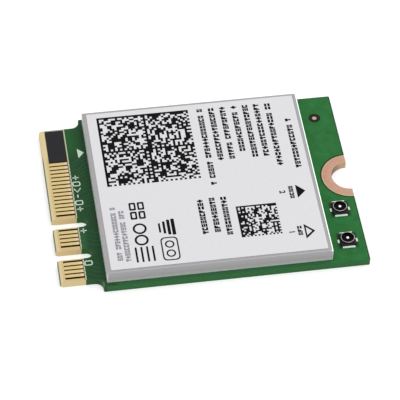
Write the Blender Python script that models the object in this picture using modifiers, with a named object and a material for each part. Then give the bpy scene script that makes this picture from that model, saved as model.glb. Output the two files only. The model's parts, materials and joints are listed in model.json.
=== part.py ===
"""Plug-in wireless card for a laptop: board, contact tongue, shield can, label and aerial sockets.

The card lies flat with its component side up. +X runs from the contact edge to the screw end,
+Y runs across the board, and the origin is the centre of the board's underside.
"""
import math

import bmesh
import bpy
from mathutils import Matrix, Vector

MM = 0.001

# Board outline: a wide body with a narrower contact tongue, joined by filleted shoulders
BOARD_LENGTH = 30.0 * MM
BOARD_WIDTH = 22.0 * MM
BOARD_THICKNESS = 0.80 * MM
BOARD_CORNER_RADIUS = 0.12 * MM
TONGUE_LENGTH = 4.1 * MM
SHOULDER_HEIGHT = 1.075 * MM
SHOULDER_FILLET = 0.75 * MM
FILLET_SHARE_OF_SHOULDER = 0.7
TONGUE_CORNER_RADIUS = 0.20 * MM

# Edge contacts: two staggered rows, odd positions on top and even ones below.
# Two groups of positions are left out for the key notches.
CONTACT_PITCH = 0.25 * MM
CONTACT_COUNT = 75
KEY_POSITIONS = ((8, 15), (24, 31))
KEY_WIDTH = 1.20 * MM
KEY_DEPTH = 3.50 * MM
CONTACT_FIELD_LENGTH = 2.50 * MM
GROOVE_WIDTH = 0.13 * MM
END_GROOVE_WIDTH = 0.20 * MM
GROOVE_DEPTH = 0.04 * MM
GROOVE_LENGTH = 1.82 * MM
GROOVE_SETBACK = 0.58 * MM
MASK_THICKNESS = 0.02 * MM
LEAD_IN_LENGTH = 0.34 * MM
LEAD_IN_DEPTH = 0.12 * MM

# Insulating film over the far contacts
FILM_FIRST_POSITION = 61
FILM_THICKNESS = 0.05 * MM
FILM_EDGE_MARGIN = 0.19 * MM

# Half hole for the fixing screw, with a plated pad on both faces
SCREW_RADIUS = 1.75 * MM
SCREW_PAD_RADIUS = 2.75 * MM
COPPER_THICKNESS = 0.04 * MM
BARREL_THICKNESS = 0.05 * MM
MASK_CLEARANCE = 0.05 * MM

# Alignment mark: a copper dot in a round opening of the mask
MARK_DOT_RADIUS = 0.24 * MM
MARK_OPENING_RADIUS = 0.60 * MM
MARK_FROM_SCREW_END = 2.03 * MM
MARK_FROM_FAR_EDGE = 2.86 * MM

# Shield can: a cover pressed over a soldered frame
SHIELD_SIDE_MARGIN = 0.40 * MM
SHIELD_FRONT_MARGIN = 0.35 * MM
SHIELD_REAR_STRIP = 3.60 * MM
COVER_HEIGHT = 1.38 * MM
COVER_SHEET = 0.12 * MM
COVER_CORNER_RADIUS = 0.15 * MM
COVER_EDGE_RADIUS = 0.13 * MM
COVER_LIFT = 0.05 * MM
FRAME_SHEET = 0.15 * MM
FRAME_CLEARANCE = 0.03 * MM
FRAME_RIM = 0.60 * MM
BRIDGE_WIDTH = 2.4 * MM
BRIDGE_DISC_RADIUS = 2.2 * MM
FOOT_GAP_WIDTH = 1.4 * MM
FOOT_GAP_HEIGHT = 0.12 * MM
FOOT_PITCH = 3.4 * MM

# Label on the cover
LABEL_SIDE_MARGIN = 0.34 * MM
LABEL_FRONT_MARGIN = 0.43 * MM
LABEL_REAR_MARGIN = 0.47 * MM
LABEL_THICKNESS = 0.06 * MM
LABEL_CORNER_RADIUS = 0.12 * MM
GLUE_GAP = 0.01 * MM

# Aerial sockets
SOCKET_FROM_SCREW_END = 1.76 * MM
SOCKET_TO_SCREW_PAD = 0.50 * MM
SOCKET_PITCH = 4.08 * MM
SOCKET_FOOTPRINT = 2.04 * MM
SOCKET_HEIGHT = 0.50 * MM
HOUSING_SIDE = 1.56 * MM
HOUSING_HEIGHT = 0.30 * MM
HOUSING_CHAMFER = 0.14 * MM
HOUSING_FLOOR = 0.18 * MM
SHELL_RADIUS = 0.70 * MM
SHELL_WALL = 0.08 * MM
SHELL_LIP_HEIGHT = 0.08 * MM
SHELL_GROOVE = 0.03 * MM
SHELL_FOOT_LIFT = 0.20 * MM
GROUND_LEG_WIDTH = 0.60 * MM
GROUND_TAB_WIDTH = 1.30 * MM
SMALL_TAB_WIDTH = 0.45 * MM
TAB_THICKNESS = 0.08 * MM
PIN_RADIUS = 0.15 * MM
PIN_SHORT_OF_RIM = 0.06 * MM
SIGNAL_LEG_WIDTH = 0.30 * MM

# Clearances: a film of solder under what is soldered on, and a running gap between fine forms
SOLDER_GAP = 0.03 * MM
FINE_GAP = 0.02 * MM

# Radio chip and the capacitors round it
RADIO_CHIP_SIDE = 7.5 * MM
CHIP_HEIGHT = 0.70 * MM
RADIO_CHIP_PLACE = (-0.15, 0.0)
CAPACITOR_LENGTH = 1.0 * MM
CAPACITOR_WIDTH = 0.5 * MM
CAPACITOR_SPACING = 2.2 * MM
CAPACITOR_FROM_CHIP = 0.50 * MM

# Resistors in a row behind the contacts
RESISTOR_HEIGHT = 0.35 * MM
RESISTOR_COUNT = 6
RESISTOR_PITCH = 1.15 * MM
RESISTOR_PLACE = (-0.90, 0.0)

# Other chips under the can
POWER_CHIP_SIDE = 3.0 * MM
MEMORY_CHIP_LENGTH = 3.0 * MM
MEMORY_CHIP_WIDTH = 2.0 * MM
REGULATOR_SIDE = 2.0 * MM
FRONT_END_SIDE = 3.0 * MM
SMALL_CHIP_HEIGHT = 0.60 * MM

# Parts with two end caps: inductors, beads, filters, diplexers and larger capacitors
INDUCTOR_LENGTH = 2.5 * MM
INDUCTOR_WIDTH = 2.0 * MM
INDUCTOR_HEIGHT = 0.80 * MM
BEAD_LENGTH = 1.6 * MM
BEAD_WIDTH = 0.8 * MM
FILTER_LENGTH = 1.6 * MM
FILTER_WIDTH = 1.2 * MM
DIPLEXER_LENGTH = 2.0 * MM
DIPLEXER_WIDTH = 1.25 * MM
FILTER_HEIGHT = 0.60 * MM

# Clock crystal
CRYSTAL_LENGTH = 2.0 * MM
CRYSTAL_WIDTH = 1.6 * MM
CRYSTAL_HEIGHT = 0.35 * MM
CRYSTAL_LID_MARGIN = 0.15 * MM
CRYSTAL_LID_HEIGHT = 0.12 * MM
CRYSTAL_LID_RADIUS = 0.12 * MM

# Each part's place is a share of the room from the can's centre to its frame
CHIPS = (
    ("memory_chip", (MEMORY_CHIP_LENGTH, MEMORY_CHIP_WIDTH, SMALL_CHIP_HEIGHT), (-0.72, 0.62)),
    ("power_chip", (POWER_CHIP_SIDE, POWER_CHIP_SIDE, CHIP_HEIGHT), (-0.76, -0.66)),
    ("regulator_chip", (REGULATOR_SIDE, REGULATOR_SIDE, SMALL_CHIP_HEIGHT), (0.56, 0.62)),
    ("front_end_main", (FRONT_END_SIDE, FRONT_END_SIDE, CHIP_HEIGHT), (0.63, -0.20)),
    ("front_end_aux", (FRONT_END_SIDE, FRONT_END_SIDE, CHIP_HEIGHT), (0.63, -0.66)),
)
INDUCTOR = (INDUCTOR_LENGTH, INDUCTOR_WIDTH, INDUCTOR_HEIGHT)
BEAD = (BEAD_LENGTH, BEAD_WIDTH, FILTER_HEIGHT)
FILTER = (FILTER_LENGTH, FILTER_WIDTH, FILTER_HEIGHT)
DIPLEXER = (DIPLEXER_LENGTH, DIPLEXER_WIDTH, FILTER_HEIGHT)
INLINE_PARTS = (
    ("power_inductor_1", INDUCTOR, (-0.26, -0.72)),
    ("power_inductor_2", INDUCTOR, (0.08, -0.72)),
    ("bulk_capacitor_1", BEAD, (0.20, 0.66)),
)
CROSSWISE_PARTS = (
    ("band_filter_main", FILTER, (0.905, -0.09)),
    ("diplexer_main", DIPLEXER, (0.905, -0.32)),
    ("band_filter_aux", FILTER, (0.905, -0.55)),
    ("diplexer_aux", DIPLEXER, (0.905, -0.79)),
    ("ferrite_bead_1", BEAD, (-0.47, 0.66)),
    ("ferrite_bead_2", BEAD, (-0.49, -0.72)),
    ("bulk_capacitor_2", BEAD, (0.905, 0.30)),
)
CRYSTAL_PLACE = (-0.14, 0.68)
PIN_ONE_RADIUS = 0.22 * MM
PIN_ONE_DEPTH = 0.05 * MM
PIN_ONE_INSET = 0.50 * MM
CHIP_EDGE = 0.05 * MM
CHIP_DRAFT = 0.06 * MM
END_CAP_SHARE = 0.22
END_CAP_STEP = 0.03 * MM

# Round forms
FINE_STEPS = 48
SMALL_STEPS = 28
ARC_STEP_DEGREES = 15.0
OVERCUT = 0.5 * MM
ROUNDING_SEGMENTS = 4
SHARP_DEGREES = 35
MERGE = 1e-7

# Places that follow from the sizes above
SCREW_END = BOARD_LENGTH / 2
CONTACT_EDGE = -BOARD_LENGTH / 2
SHOULDER_X = CONTACT_EDGE + TONGUE_LENGTH
HALF_WIDTH = BOARD_WIDTH / 2
HALF_TONGUE = HALF_WIDTH - SHOULDER_HEIGHT
TOP = BOARD_THICKNESS

COVER_LEFT = SHOULDER_X + SHIELD_FRONT_MARGIN
COVER_RIGHT = SCREW_END - SHIELD_REAR_STRIP
COVER_NEAR = -HALF_WIDTH + SHIELD_SIDE_MARGIN
COVER_FAR = HALF_WIDTH - SHIELD_SIDE_MARGIN
COVER_TOP = TOP + COVER_HEIGHT
FRAME_INSET = COVER_SHEET + FRAME_CLEARANCE
FRAME_TOP = COVER_TOP - COVER_SHEET - FRAME_CLEARANCE
SHIELD_CENTRE = ((COVER_LEFT + COVER_RIGHT) / 2, (COVER_NEAR + COVER_FAR) / 2)
INSIDE_HALF_LENGTH = (COVER_RIGHT - COVER_LEFT) / 2 - FRAME_INSET - FRAME_SHEET
INSIDE_HALF_WIDTH = (COVER_FAR - COVER_NEAR) / 2 - FRAME_INSET - FRAME_SHEET

SOCKET_X = SCREW_END - SOCKET_FROM_SCREW_END
MAIN_SOCKET_Y = -(SCREW_PAD_RADIUS + SOCKET_TO_SCREW_PAD + SOCKET_FOOTPRINT / 2)
AUX_SOCKET_Y = MAIN_SOCKET_Y - SOCKET_PITCH


def clear_scene():
    """Remove every object that the file opened with."""
    for item in list(bpy.data.objects):
        bpy.data.objects.remove(item, do_unlink=True)


def new_collection(name):
    """Make a collection under the scene."""
    collection = bpy.data.collections.new(name)
    bpy.context.scene.collection.children.link(collection)
    return collection


def finish(name, red, green, blue, roughness, metallic=0.0):
    """Make a plain surface finish from linear colour values."""
    material = bpy.data.materials.new(name)
    material.use_nodes = True
    shader = material.node_tree.nodes["Principled BSDF"]
    shader.inputs["Base Color"].default_value = (red, green, blue, 1.0)
    shader.inputs["Roughness"].default_value = roughness
    shader.inputs["Metallic"].default_value = metallic
    return material


def add_mesh(name, mesh, collection, material=None):
    """Link a mesh as an object, with its finish."""
    item = bpy.data.objects.new(name, mesh)
    collection.objects.link(item)
    if material is not None and not mesh.materials:
        mesh.materials.append(material)
    return item


def mesh_from(bm, name):
    """Turn a bmesh into a mesh and free it."""
    mesh = bpy.data.meshes.new(name)
    bm.to_mesh(mesh)
    bm.free()
    return mesh


def settled_mesh(item):
    """Evaluate an object into a plain mesh in world space, and remove the object."""
    bpy.context.view_layer.update()
    evaluated = item.evaluated_get(bpy.context.evaluated_depsgraph_get())
    mesh = bpy.data.meshes.new_from_object(evaluated)
    mesh.transform(item.matrix_world)
    bm = bmesh.new()
    bm.from_mesh(mesh)
    bmesh.ops.remove_doubles(bm, verts=bm.verts, dist=MERGE)
    bm.to_mesh(mesh)
    bm.free()
    bpy.data.objects.remove(item, do_unlink=True)
    return mesh


def arc(centre_x, centre_y, radius, start, end):
    """Points along an arc, both ends included, with angles in degrees."""
    steps = max(2, round(abs(end - start) / ARC_STEP_DEGREES))
    angles = [math.radians(start + (end - start) * i / steps) for i in range(steps + 1)]
    return [(centre_x + radius * math.cos(a), centre_y + radius * math.sin(a)) for a in angles]


def rounded_rectangle(left, right, near, far, radius):
    """Outline of a rectangle with round corners, anticlockwise."""
    return (
        arc(left + radius, near + radius, radius, 180, 270)
        + arc(right - radius, near + radius, radius, 270, 360)
        + arc(right - radius, far - radius, radius, 0, 90)
        + arc(left + radius, far - radius, radius, 90, 180)
    )


def flat_mesh(name, outline, bottom, top):
    """Closed slab over one outline, drawn as a 2D curve and given its thickness."""
    curve = bpy.data.curves.new(name, "CURVE")
    curve.dimensions = "2D"
    curve.fill_mode = "BOTH"
    curve.extrude = (top - bottom) / 2
    spline = curve.splines.new("POLY")
    spline.points.add(len(outline) - 1)
    for point, (x, y) in zip(spline.points, outline):
        point.co = (x, y, 0.0, 1.0)
    spline.use_cyclic_u = True
    item = bpy.data.objects.new(name, curve)
    item.location.z = (top + bottom) / 2
    bpy.context.scene.collection.objects.link(item)
    return settled_mesh(item)


def boxes_mesh(name, spans):
    """One mesh of separate boxes, each given by its low and high corners."""
    bm = bmesh.new()
    for low, high in spans:
        size = Vector(high) - Vector(low)
        middle = (Vector(high) + Vector(low)) / 2
        place = Matrix.Translation(middle) @ Matrix.Diagonal((*size, 1.0))
        bmesh.ops.create_cube(bm, size=1.0, matrix=place)
    return mesh_from(bm, name)


def turned_mesh(name, profile, centre, steps):
    """Solid of revolution about a vertical axis, from a profile that runs down its outer side."""
    bm = bmesh.new()
    corners = [bm.verts.new((radius, 0.0, height)) for radius, height in profile]
    for first, second in zip(corners, corners[1:] + corners[:1]):
        if max(first.co.x, second.co.x) > 0:
            bm.edges.new((first, second))
    item = bpy.data.objects.new(name, mesh_from(bm, name))
    item.location = (centre[0], centre[1], 0.0)
    bpy.context.scene.collection.objects.link(item)
    screw = item.modifiers.new("Turn", "SCREW")
    screw.axis = "Z"
    screw.angle = math.tau
    screw.steps = steps
    screw.render_steps = steps
    screw.use_merge_vertices = True
    screw.merge_threshold = MERGE
    return settled_mesh(item)


def boolean(item, operation, tool):
    """Cut or join an object with a tool that stays hidden."""
    tool.hide_render = True
    tool.display_type = "WIRE"
    step = item.modifiers.new(operation.title(), "BOOLEAN")
    step.operation = operation
    step.solver = "EXACT"
    step.object = tool


def shade_round(item):
    """Shade an object smooth, with its edges kept sharp."""
    item.data.shade_smooth()
    item.data.set_sharp_from_angle(angle=math.radians(SHARP_DEGREES))


def contact_y(position):
    """Distance of a contact position from the card's centre line."""
    return (position - (CONTACT_COUNT + 1) / 2) * CONTACT_PITCH


def contact_positions(first):
    """Every second contact position from the first, without those of the key notches."""
    return [
        position
        for position in range(first, CONTACT_COUNT + 1, 2)
        if not any(low <= position <= high for low, high in KEY_POSITIONS)
    ]


def key_centres():
    """Centre line of each key notch, from the far side to the near side."""
    return sorted((contact_y((low + high) / 2) for low, high in KEY_POSITIONS), reverse=True)


def board_outline():
    """Outline of the board, anticlockwise from the tongue's near corner."""
    fillet = min(SHOULDER_FILLET, SHOULDER_HEIGHT * FILLET_SHARE_OF_SHOULDER)
    corner = min(BOARD_CORNER_RADIUS, SHOULDER_HEIGHT - fillet)
    tip = TONGUE_CORNER_RADIUS
    hole = SCREW_RADIUS + BARREL_THICKNESS + FINE_GAP
    points = arc(CONTACT_EDGE + tip, -HALF_TONGUE + tip, tip, 180, 270)
    points += arc(SHOULDER_X - fillet, -HALF_TONGUE - fillet, fillet, 90, 0)
    points += arc(SHOULDER_X + corner, -HALF_WIDTH + corner, corner, 180, 270)
    points += arc(SCREW_END - corner, -HALF_WIDTH + corner, corner, 270, 360)
    points += half_circle(SCREW_END, 0.0, hole)
    points += arc(SCREW_END - corner, HALF_WIDTH - corner, corner, 0, 90)
    points += arc(SHOULDER_X + corner, HALF_WIDTH - corner, corner, 90, 180)
    points += arc(SHOULDER_X - fillet, HALF_TONGUE + fillet, fillet, 0, -90)
    points += arc(CONTACT_EDGE + tip, HALF_TONGUE - tip, tip, 90, 180)
    for centre in key_centres():
        points += key_notch(centre)
    return points


def half_circle(centre_x, centre_y, radius):
    """Half circle that opens towards +X, run from its near end to its far end."""
    steps = FINE_STEPS // 2
    angles = [math.radians(-90.0 - 180.0 * i / steps) for i in range(steps + 1)]
    return [(centre_x + radius * math.cos(a), centre_y + radius * math.sin(a)) for a in angles]


def key_notch(centre):
    """Points of one round-ended key notch, from its far side to its near side."""
    half = KEY_WIDTH / 2
    root = CONTACT_EDGE + KEY_DEPTH - half
    return [(CONTACT_EDGE, centre + half)] + arc(root, centre, half, 90, -90) + [
        (CONTACT_EDGE, centre - half)
    ]


def groove_lines(first):
    """Centre line and width of the grooves on both sides of each contact in one row.

    A groove with a contact on one side only ends its group, and is wider.
    """
    neighbours = {}
    for position in contact_positions(first):
        if abs(contact_y(position)) + 2 * CONTACT_PITCH < HALF_TONGUE:
            for side in (position - 1, position + 1):
                neighbours[side] = neighbours.get(side, 0) + 1
    return [
        (contact_y(side), GROOVE_WIDTH if neighbours[side] == 2 else END_GROOVE_WIDTH)
        for side in sorted(neighbours)
    ]


def groove_boxes():
    """Cutting boxes for the grooves between the contacts, on both faces."""
    start = CONTACT_EDGE + GROOVE_SETBACK
    floor = GROOVE_DEPTH + MASK_THICKNESS
    spans = []
    for first, low, high in ((1, TOP - floor, TOP + OVERCUT), (2, -OVERCUT, floor)):
        for centre, width in groove_lines(first):
            spans.append((
                (start, centre - width / 2, low),
                (start + GROOVE_LENGTH, centre + width / 2, high),
            ))
    return spans


def mask_opening_boxes():
    """Cutting boxes that leave the contact field bare of solder mask, on both faces."""
    left = CONTACT_EDGE - OVERCUT
    right = CONTACT_EDGE + CONTACT_FIELD_LENGTH
    return [
        ((left, -HALF_WIDTH, TOP - MASK_THICKNESS), (right, HALF_WIDTH, TOP + OVERCUT)),
        ((left, -HALF_WIDTH, -OVERCUT), (right, HALF_WIDTH, MASK_THICKNESS)),
    ]


def lead_in_mesh(name, face, outward):
    """Wedge that slopes one face of the contact edge, for easy entry into the slot."""
    slope = LEAD_IN_DEPTH / LEAD_IN_LENGTH
    reach = LEAD_IN_LENGTH + OVERCUT
    outline = [
        (CONTACT_EDGE - OVERCUT, -outward * (slope * reach)),
        (CONTACT_EDGE - OVERCUT, outward * OVERCUT),
        (CONTACT_EDGE + LEAD_IN_LENGTH, outward * OVERCUT),
        (CONTACT_EDGE + LEAD_IN_LENGTH, 0.0),
    ]
    mesh = flat_mesh(name, outline, -BOARD_WIDTH / 2, BOARD_WIDTH / 2)
    mesh.transform(Matrix.Translation((0.0, 0.0, face)) @ Matrix.Rotation(math.pi / 2, 4, "X"))
    return mesh


def ring_profile(inner, outer, bottom, top):
    """Square section of a ring, down its outer side and up its inner side."""
    return [(outer, top), (outer, bottom), (inner, bottom), (inner, top)]


def disc_profile(radius, bottom, top):
    """Half section of a disc, from the axis down its outer side and back to the axis."""
    return [(0.0, top), (radius, top), (radius, bottom), (0.0, bottom)]


def recess_mesh():
    """Cutting forms for the screw pad on both faces and for the ring round the alignment mark."""
    pad_hole = SCREW_PAD_RADIUS + MASK_CLEARANCE
    depth = COPPER_THICKNESS + FINE_GAP
    mark_place = (SCREW_END - MARK_FROM_SCREW_END, HALF_WIDTH - MARK_FROM_FAR_EDGE)
    mark_floor = TOP - COPPER_THICKNESS
    forms = (
        turned_mesh("pad_top", disc_profile(pad_hole, TOP - depth, TOP + OVERCUT),
                    (SCREW_END, 0.0), FINE_STEPS),
        turned_mesh("pad_bottom", disc_profile(pad_hole, -OVERCUT, depth),
                    (SCREW_END, 0.0), FINE_STEPS),
        turned_mesh("mark", ring_profile(MARK_DOT_RADIUS, MARK_OPENING_RADIUS, mark_floor,
                                         TOP + OVERCUT), mark_place, SMALL_STEPS),
    )
    bm = bmesh.new()
    for form in forms:
        bm.from_mesh(form)
    return mesh_from(bm, "recesses")


def build_board(parts, cutters, laminate):
    """Circuit board with its tongue, grooves, lead-in slopes, half hole and alignment mark."""
    board = add_mesh("circuit_board", flat_mesh("board", board_outline(), 0.0, TOP), parts, laminate)
    boolean(board, "DIFFERENCE",
            add_mesh("cut_mask_opening", boxes_mesh("mask_opening", mask_opening_boxes()), cutters))
    boolean(board, "DIFFERENCE",
            add_mesh("cut_grooves", boxes_mesh("grooves", groove_boxes()), cutters))
    for name, face, outward in (
        ("cut_lead_in_top", TOP - MASK_THICKNESS, 1),
        ("cut_lead_in_bottom", MASK_THICKNESS, -1),
    ):
        boolean(board, "DIFFERENCE", add_mesh(name, lead_in_mesh(name, face, outward), cutters))
    boolean(board, "DIFFERENCE", add_mesh("cut_recesses", recess_mesh(), cutters))


def build_screw_pad(parts, cutters, copper):
    """Plated half ring: a pad on each face, joined by the plating on the hole's wall."""
    barrel = SCREW_RADIUS + BARREL_THICKNESS
    profile = [
        (SCREW_PAD_RADIUS, TOP),
        (SCREW_PAD_RADIUS, TOP - COPPER_THICKNESS),
        (barrel, TOP - COPPER_THICKNESS),
        (barrel, COPPER_THICKNESS),
        (SCREW_PAD_RADIUS, COPPER_THICKNESS),
        (SCREW_PAD_RADIUS, 0.0),
        (SCREW_RADIUS, 0.0),
        (SCREW_RADIUS, TOP),
    ]
    ring = add_mesh("screw_pad", turned_mesh("ring", profile, (SCREW_END, 0.0), FINE_STEPS),
                    parts, copper)
    reach = SCREW_PAD_RADIUS + OVERCUT
    beyond = ((SCREW_END, -reach, -OVERCUT), (SCREW_END + reach, reach, TOP + OVERCUT))
    boolean(ring, "DIFFERENCE", add_mesh("cut_ring", boxes_mesh("beyond", [beyond]), cutters))


def build_film(parts, material):
    """Thin insulating film that covers the far contacts."""
    left = CONTACT_EDGE + GROOVE_SETBACK
    near = contact_y(FILM_FIRST_POSITION - 1)
    far = HALF_TONGUE - FILM_EDGE_MARGIN
    bottom = TOP - MASK_THICKNESS + GLUE_GAP
    spans = [((left, near, bottom), (left + GROOVE_LENGTH, far, bottom + FILM_THICKNESS))]
    add_mesh("contact_film", boxes_mesh("film", spans), parts, material)


def frame_outline(inset, radius):
    """Outline that runs inside the cover's outer faces at one distance."""
    return rounded_rectangle(
        COVER_LEFT + inset, COVER_RIGHT - inset, COVER_NEAR + inset, COVER_FAR - inset, radius)


def bridge_window(side):
    """Opening in the frame's top on one side of the bridge, which swells into a disc."""
    centre_x, centre_y = SHIELD_CENTRE
    half = BRIDGE_WIDTH / 2
    outer = centre_x + side * (INSIDE_HALF_LENGTH - FRAME_RIM)
    near = centre_y - (INSIDE_HALF_WIDTH - FRAME_RIM)
    far = centre_y + (INSIDE_HALF_WIDTH - FRAME_RIM)
    turn = math.degrees(math.acos(half / BRIDGE_DISC_RADIUS))
    bulge = arc(centre_x, centre_y, BRIDGE_DISC_RADIUS, -turn, turn)
    points = [(outer, near), (outer, far), (centre_x + side * half, far)]
    points += [(centre_x + side * (x - centre_x), y) for x, y in reversed(bulge)]
    points.append((centre_x + side * half, near))
    return points if side > 0 else points[::-1]


def foot_gap_boxes():
    """Cutting boxes that leave the frame standing on separate soldered feet."""
    centre_x, centre_y = SHIELD_CENTRE
    high = TOP + SOLDER_GAP + FOOT_GAP_HEIGHT
    spans = []
    half_length = INSIDE_HALF_LENGTH - COVER_CORNER_RADIUS
    half_width = INSIDE_HALF_WIDTH - COVER_CORNER_RADIUS
    for half, across, middle, along_x in (
        (half_length, INSIDE_HALF_WIDTH, centre_x, True),
        (half_width, INSIDE_HALF_LENGTH, centre_y, False),
    ):
        count = int((2 * half - FOOT_GAP_WIDTH) // FOOT_PITCH)
        for index in range(count):
            start = middle + (index - (count - 1) / 2) * FOOT_PITCH - FOOT_GAP_WIDTH / 2
            for side in (-1, 1):
                wall = (centre_y if along_x else centre_x) + side * (across + FRAME_SHEET / 2)
                low = [start, wall - FRAME_SHEET, TOP - OVERCUT]
                top = [start + FOOT_GAP_WIDTH, wall + FRAME_SHEET, high]
                if not along_x:
                    low[0], low[1] = low[1], low[0]
                    top[0], top[1] = top[1], top[0]
                spans.append((low, top))
    return spans


def build_shield_frame(parts, cutters, metal):
    """Soldered frame: a fence with an inward rim and a bridge for the placing machine."""
    bottom = TOP + SOLDER_GAP
    outline = frame_outline(FRAME_INSET, COVER_CORNER_RADIUS / 2)
    frame = add_mesh("shield_frame", flat_mesh("frame", outline, bottom, FRAME_TOP), parts, metal)
    inner = frame_outline(FRAME_INSET + FRAME_SHEET, COVER_CORNER_RADIUS / 2)
    boolean(frame, "DIFFERENCE", add_mesh(
        "cut_frame_room", flat_mesh("room", inner, bottom - OVERCUT, FRAME_TOP - FRAME_SHEET), cutters))
    for name, side in (("cut_window_left", -1), ("cut_window_right", 1)):
        mesh = flat_mesh(name, bridge_window(side), FRAME_TOP - 2 * FRAME_SHEET, FRAME_TOP + OVERCUT)
        boolean(frame, "DIFFERENCE", add_mesh(name, mesh, cutters))
    boolean(frame, "DIFFERENCE",
            add_mesh("cut_foot_gaps", boxes_mesh("foot_gaps", foot_gap_boxes()), cutters))


def build_shield_cover(parts, metal):
    """Pressed cover: an open-bottomed box of thin sheet with rounded corners and edges."""
    low = Vector((COVER_LEFT, COVER_NEAR, TOP + COVER_LIFT))
    high = Vector((COVER_RIGHT, COVER_FAR, COVER_TOP))
    place = Matrix.Translation((low + high) / 2) @ Matrix.Diagonal((*(high - low), 1.0))
    bm = bmesh.new()
    bmesh.ops.create_cube(bm, size=1.0, matrix=place)
    upright = [e for e in bm.edges if abs((e.verts[0].co - e.verts[1].co).normalized().z) > 0.9]
    bmesh.ops.bevel(bm, geom=upright, offset=COVER_CORNER_RADIUS, segments=ROUNDING_SEGMENTS, profile=0.5,
                    affect="EDGES")
    middle = (low.z + high.z) / 2
    top_edges = [e for e in bm.edges if all(v.co.z > middle for v in e.verts)]
    bmesh.ops.bevel(bm, geom=top_edges, offset=COVER_EDGE_RADIUS, segments=ROUNDING_SEGMENTS, profile=0.5,
                    affect="EDGES")
    floor = [f for f in bm.faces if f.normal.z < -0.9]
    bmesh.ops.delete(bm, geom=floor, context="FACES_ONLY")
    cover = add_mesh("shield_cover", mesh_from(bm, "cover"), parts, metal)
    sheet = cover.modifiers.new("Sheet", "SOLIDIFY")
    sheet.thickness = COVER_SHEET
    sheet.offset = -1.0
    sheet.use_even_offset = True
    shade_round(cover)


def build_label(parts, material):
    """Printed label stuck on the cover."""
    outline = rounded_rectangle(
        COVER_LEFT + LABEL_FRONT_MARGIN, COVER_RIGHT - LABEL_REAR_MARGIN,
        COVER_NEAR + LABEL_SIDE_MARGIN, COVER_FAR - LABEL_SIDE_MARGIN, LABEL_CORNER_RADIUS)
    bottom = COVER_TOP + GLUE_GAP
    add_mesh("label", flat_mesh("label", outline, bottom, bottom + LABEL_THICKNESS), parts, material)


def shifted(spans, centre):
    """Boxes moved to a socket's centre on the board's top."""
    move = Vector((centre[0], centre[1], TOP))
    return [(Vector(low) + move, Vector(high) + move) for low, high in spans]


def leg_boxes(angle, inner, leg_width, tab_width):
    """One flat leg and its wider soldering tab, turned to one of the four sides."""
    edge = HOUSING_SIDE / 2 + FINE_GAP
    outer = SOCKET_FOOTPRINT / 2
    low, high = SOLDER_GAP, SOLDER_GAP + TAB_THICKNESS
    overlap = TAB_THICKNESS / 2
    spans = [
        ((inner, -leg_width / 2, low), (edge + overlap, leg_width / 2, high)),
        ((edge, -tab_width / 2, low), (outer, tab_width / 2, high)),
    ]
    return [turned_box(span, angle) for span in spans]


def turned_box(span, angle):
    """A box turned about the vertical axis by a multiple of a right angle."""
    turn = Matrix.Rotation(math.radians(angle), 3, "Z")
    first, second = turn @ Vector(span[0]), turn @ Vector(span[1])
    low = Vector([min(a, b) for a, b in zip(first, second)])
    high = Vector([max(a, b) for a, b in zip(first, second)])
    return low, high


def build_socket_housing(name, centre, parts, cutters, plastic):
    """Moulded base of a socket, with a round channel for the shell and room for its legs."""
    half = HOUSING_SIDE / 2
    chamfer = HOUSING_CHAMFER
    outline = [
        (-half + chamfer, -half), (half - chamfer, -half), (half, -half + chamfer),
        (half, half - chamfer), (half - chamfer, half), (-half + chamfer, half),
        (-half, half - chamfer), (-half, -half + chamfer),
    ]
    outline = [(x + centre[0], y + centre[1]) for x, y in outline]
    bottom = TOP + SOLDER_GAP
    mesh = flat_mesh(name, outline, bottom, TOP + HOUSING_HEIGHT)
    housing = add_mesh(f"{name}_housing", mesh, parts, plastic)
    inner = SHELL_RADIUS - SHELL_WALL - FINE_GAP
    channel = turned_mesh(
        f"{name}_channel",
        ring_profile(inner, SHELL_RADIUS + FINE_GAP, TOP + HOUSING_FLOOR, TOP + OVERCUT),
        centre, SMALL_STEPS)
    boolean(housing, "DIFFERENCE", add_mesh(f"cut_{name}_channel", channel, cutters))
    room = FINE_GAP
    under = SHELL_FOOT_LIFT
    leg_half = GROUND_LEG_WIDTH / 2 + room
    small_half = SMALL_TAB_WIDTH / 2 + room
    start = math.sqrt(inner ** 2 - (GROUND_LEG_WIDTH / 2) ** 2) - room
    signal_top = SOLDER_GAP + TAB_THICKNESS + room
    pockets = [
        turned_box(((start, -leg_half, -OVERCUT), (half + OVERCUT, leg_half, under)), 90),
        turned_box(((start, -leg_half, -OVERCUT), (half + OVERCUT, leg_half, under)), 270),
        turned_box(((start, -small_half, -OVERCUT), (half + OVERCUT, small_half, under)), 180),
    ]
    boolean(housing, "DIFFERENCE", add_mesh(
        f"cut_{name}_pockets", boxes_mesh("pockets", shifted(pockets, centre)), cutters))
    signal_half = SIGNAL_LEG_WIDTH / 2 + room
    passage = [((0.0, -signal_half, -OVERCUT), (half + OVERCUT, signal_half, signal_top))]
    boolean(housing, "DIFFERENCE", add_mesh(
        f"cut_{name}_passage", boxes_mesh("passage", shifted(passage, centre)), cutters))
    hole = turned_mesh(
        f"{name}_hole", disc_profile(PIN_RADIUS + room, TOP - OVERCUT, TOP + OVERCUT),
        centre, SMALL_STEPS)
    boolean(housing, "DIFFERENCE", add_mesh(f"cut_{name}_hole", hole, cutters))


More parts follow.
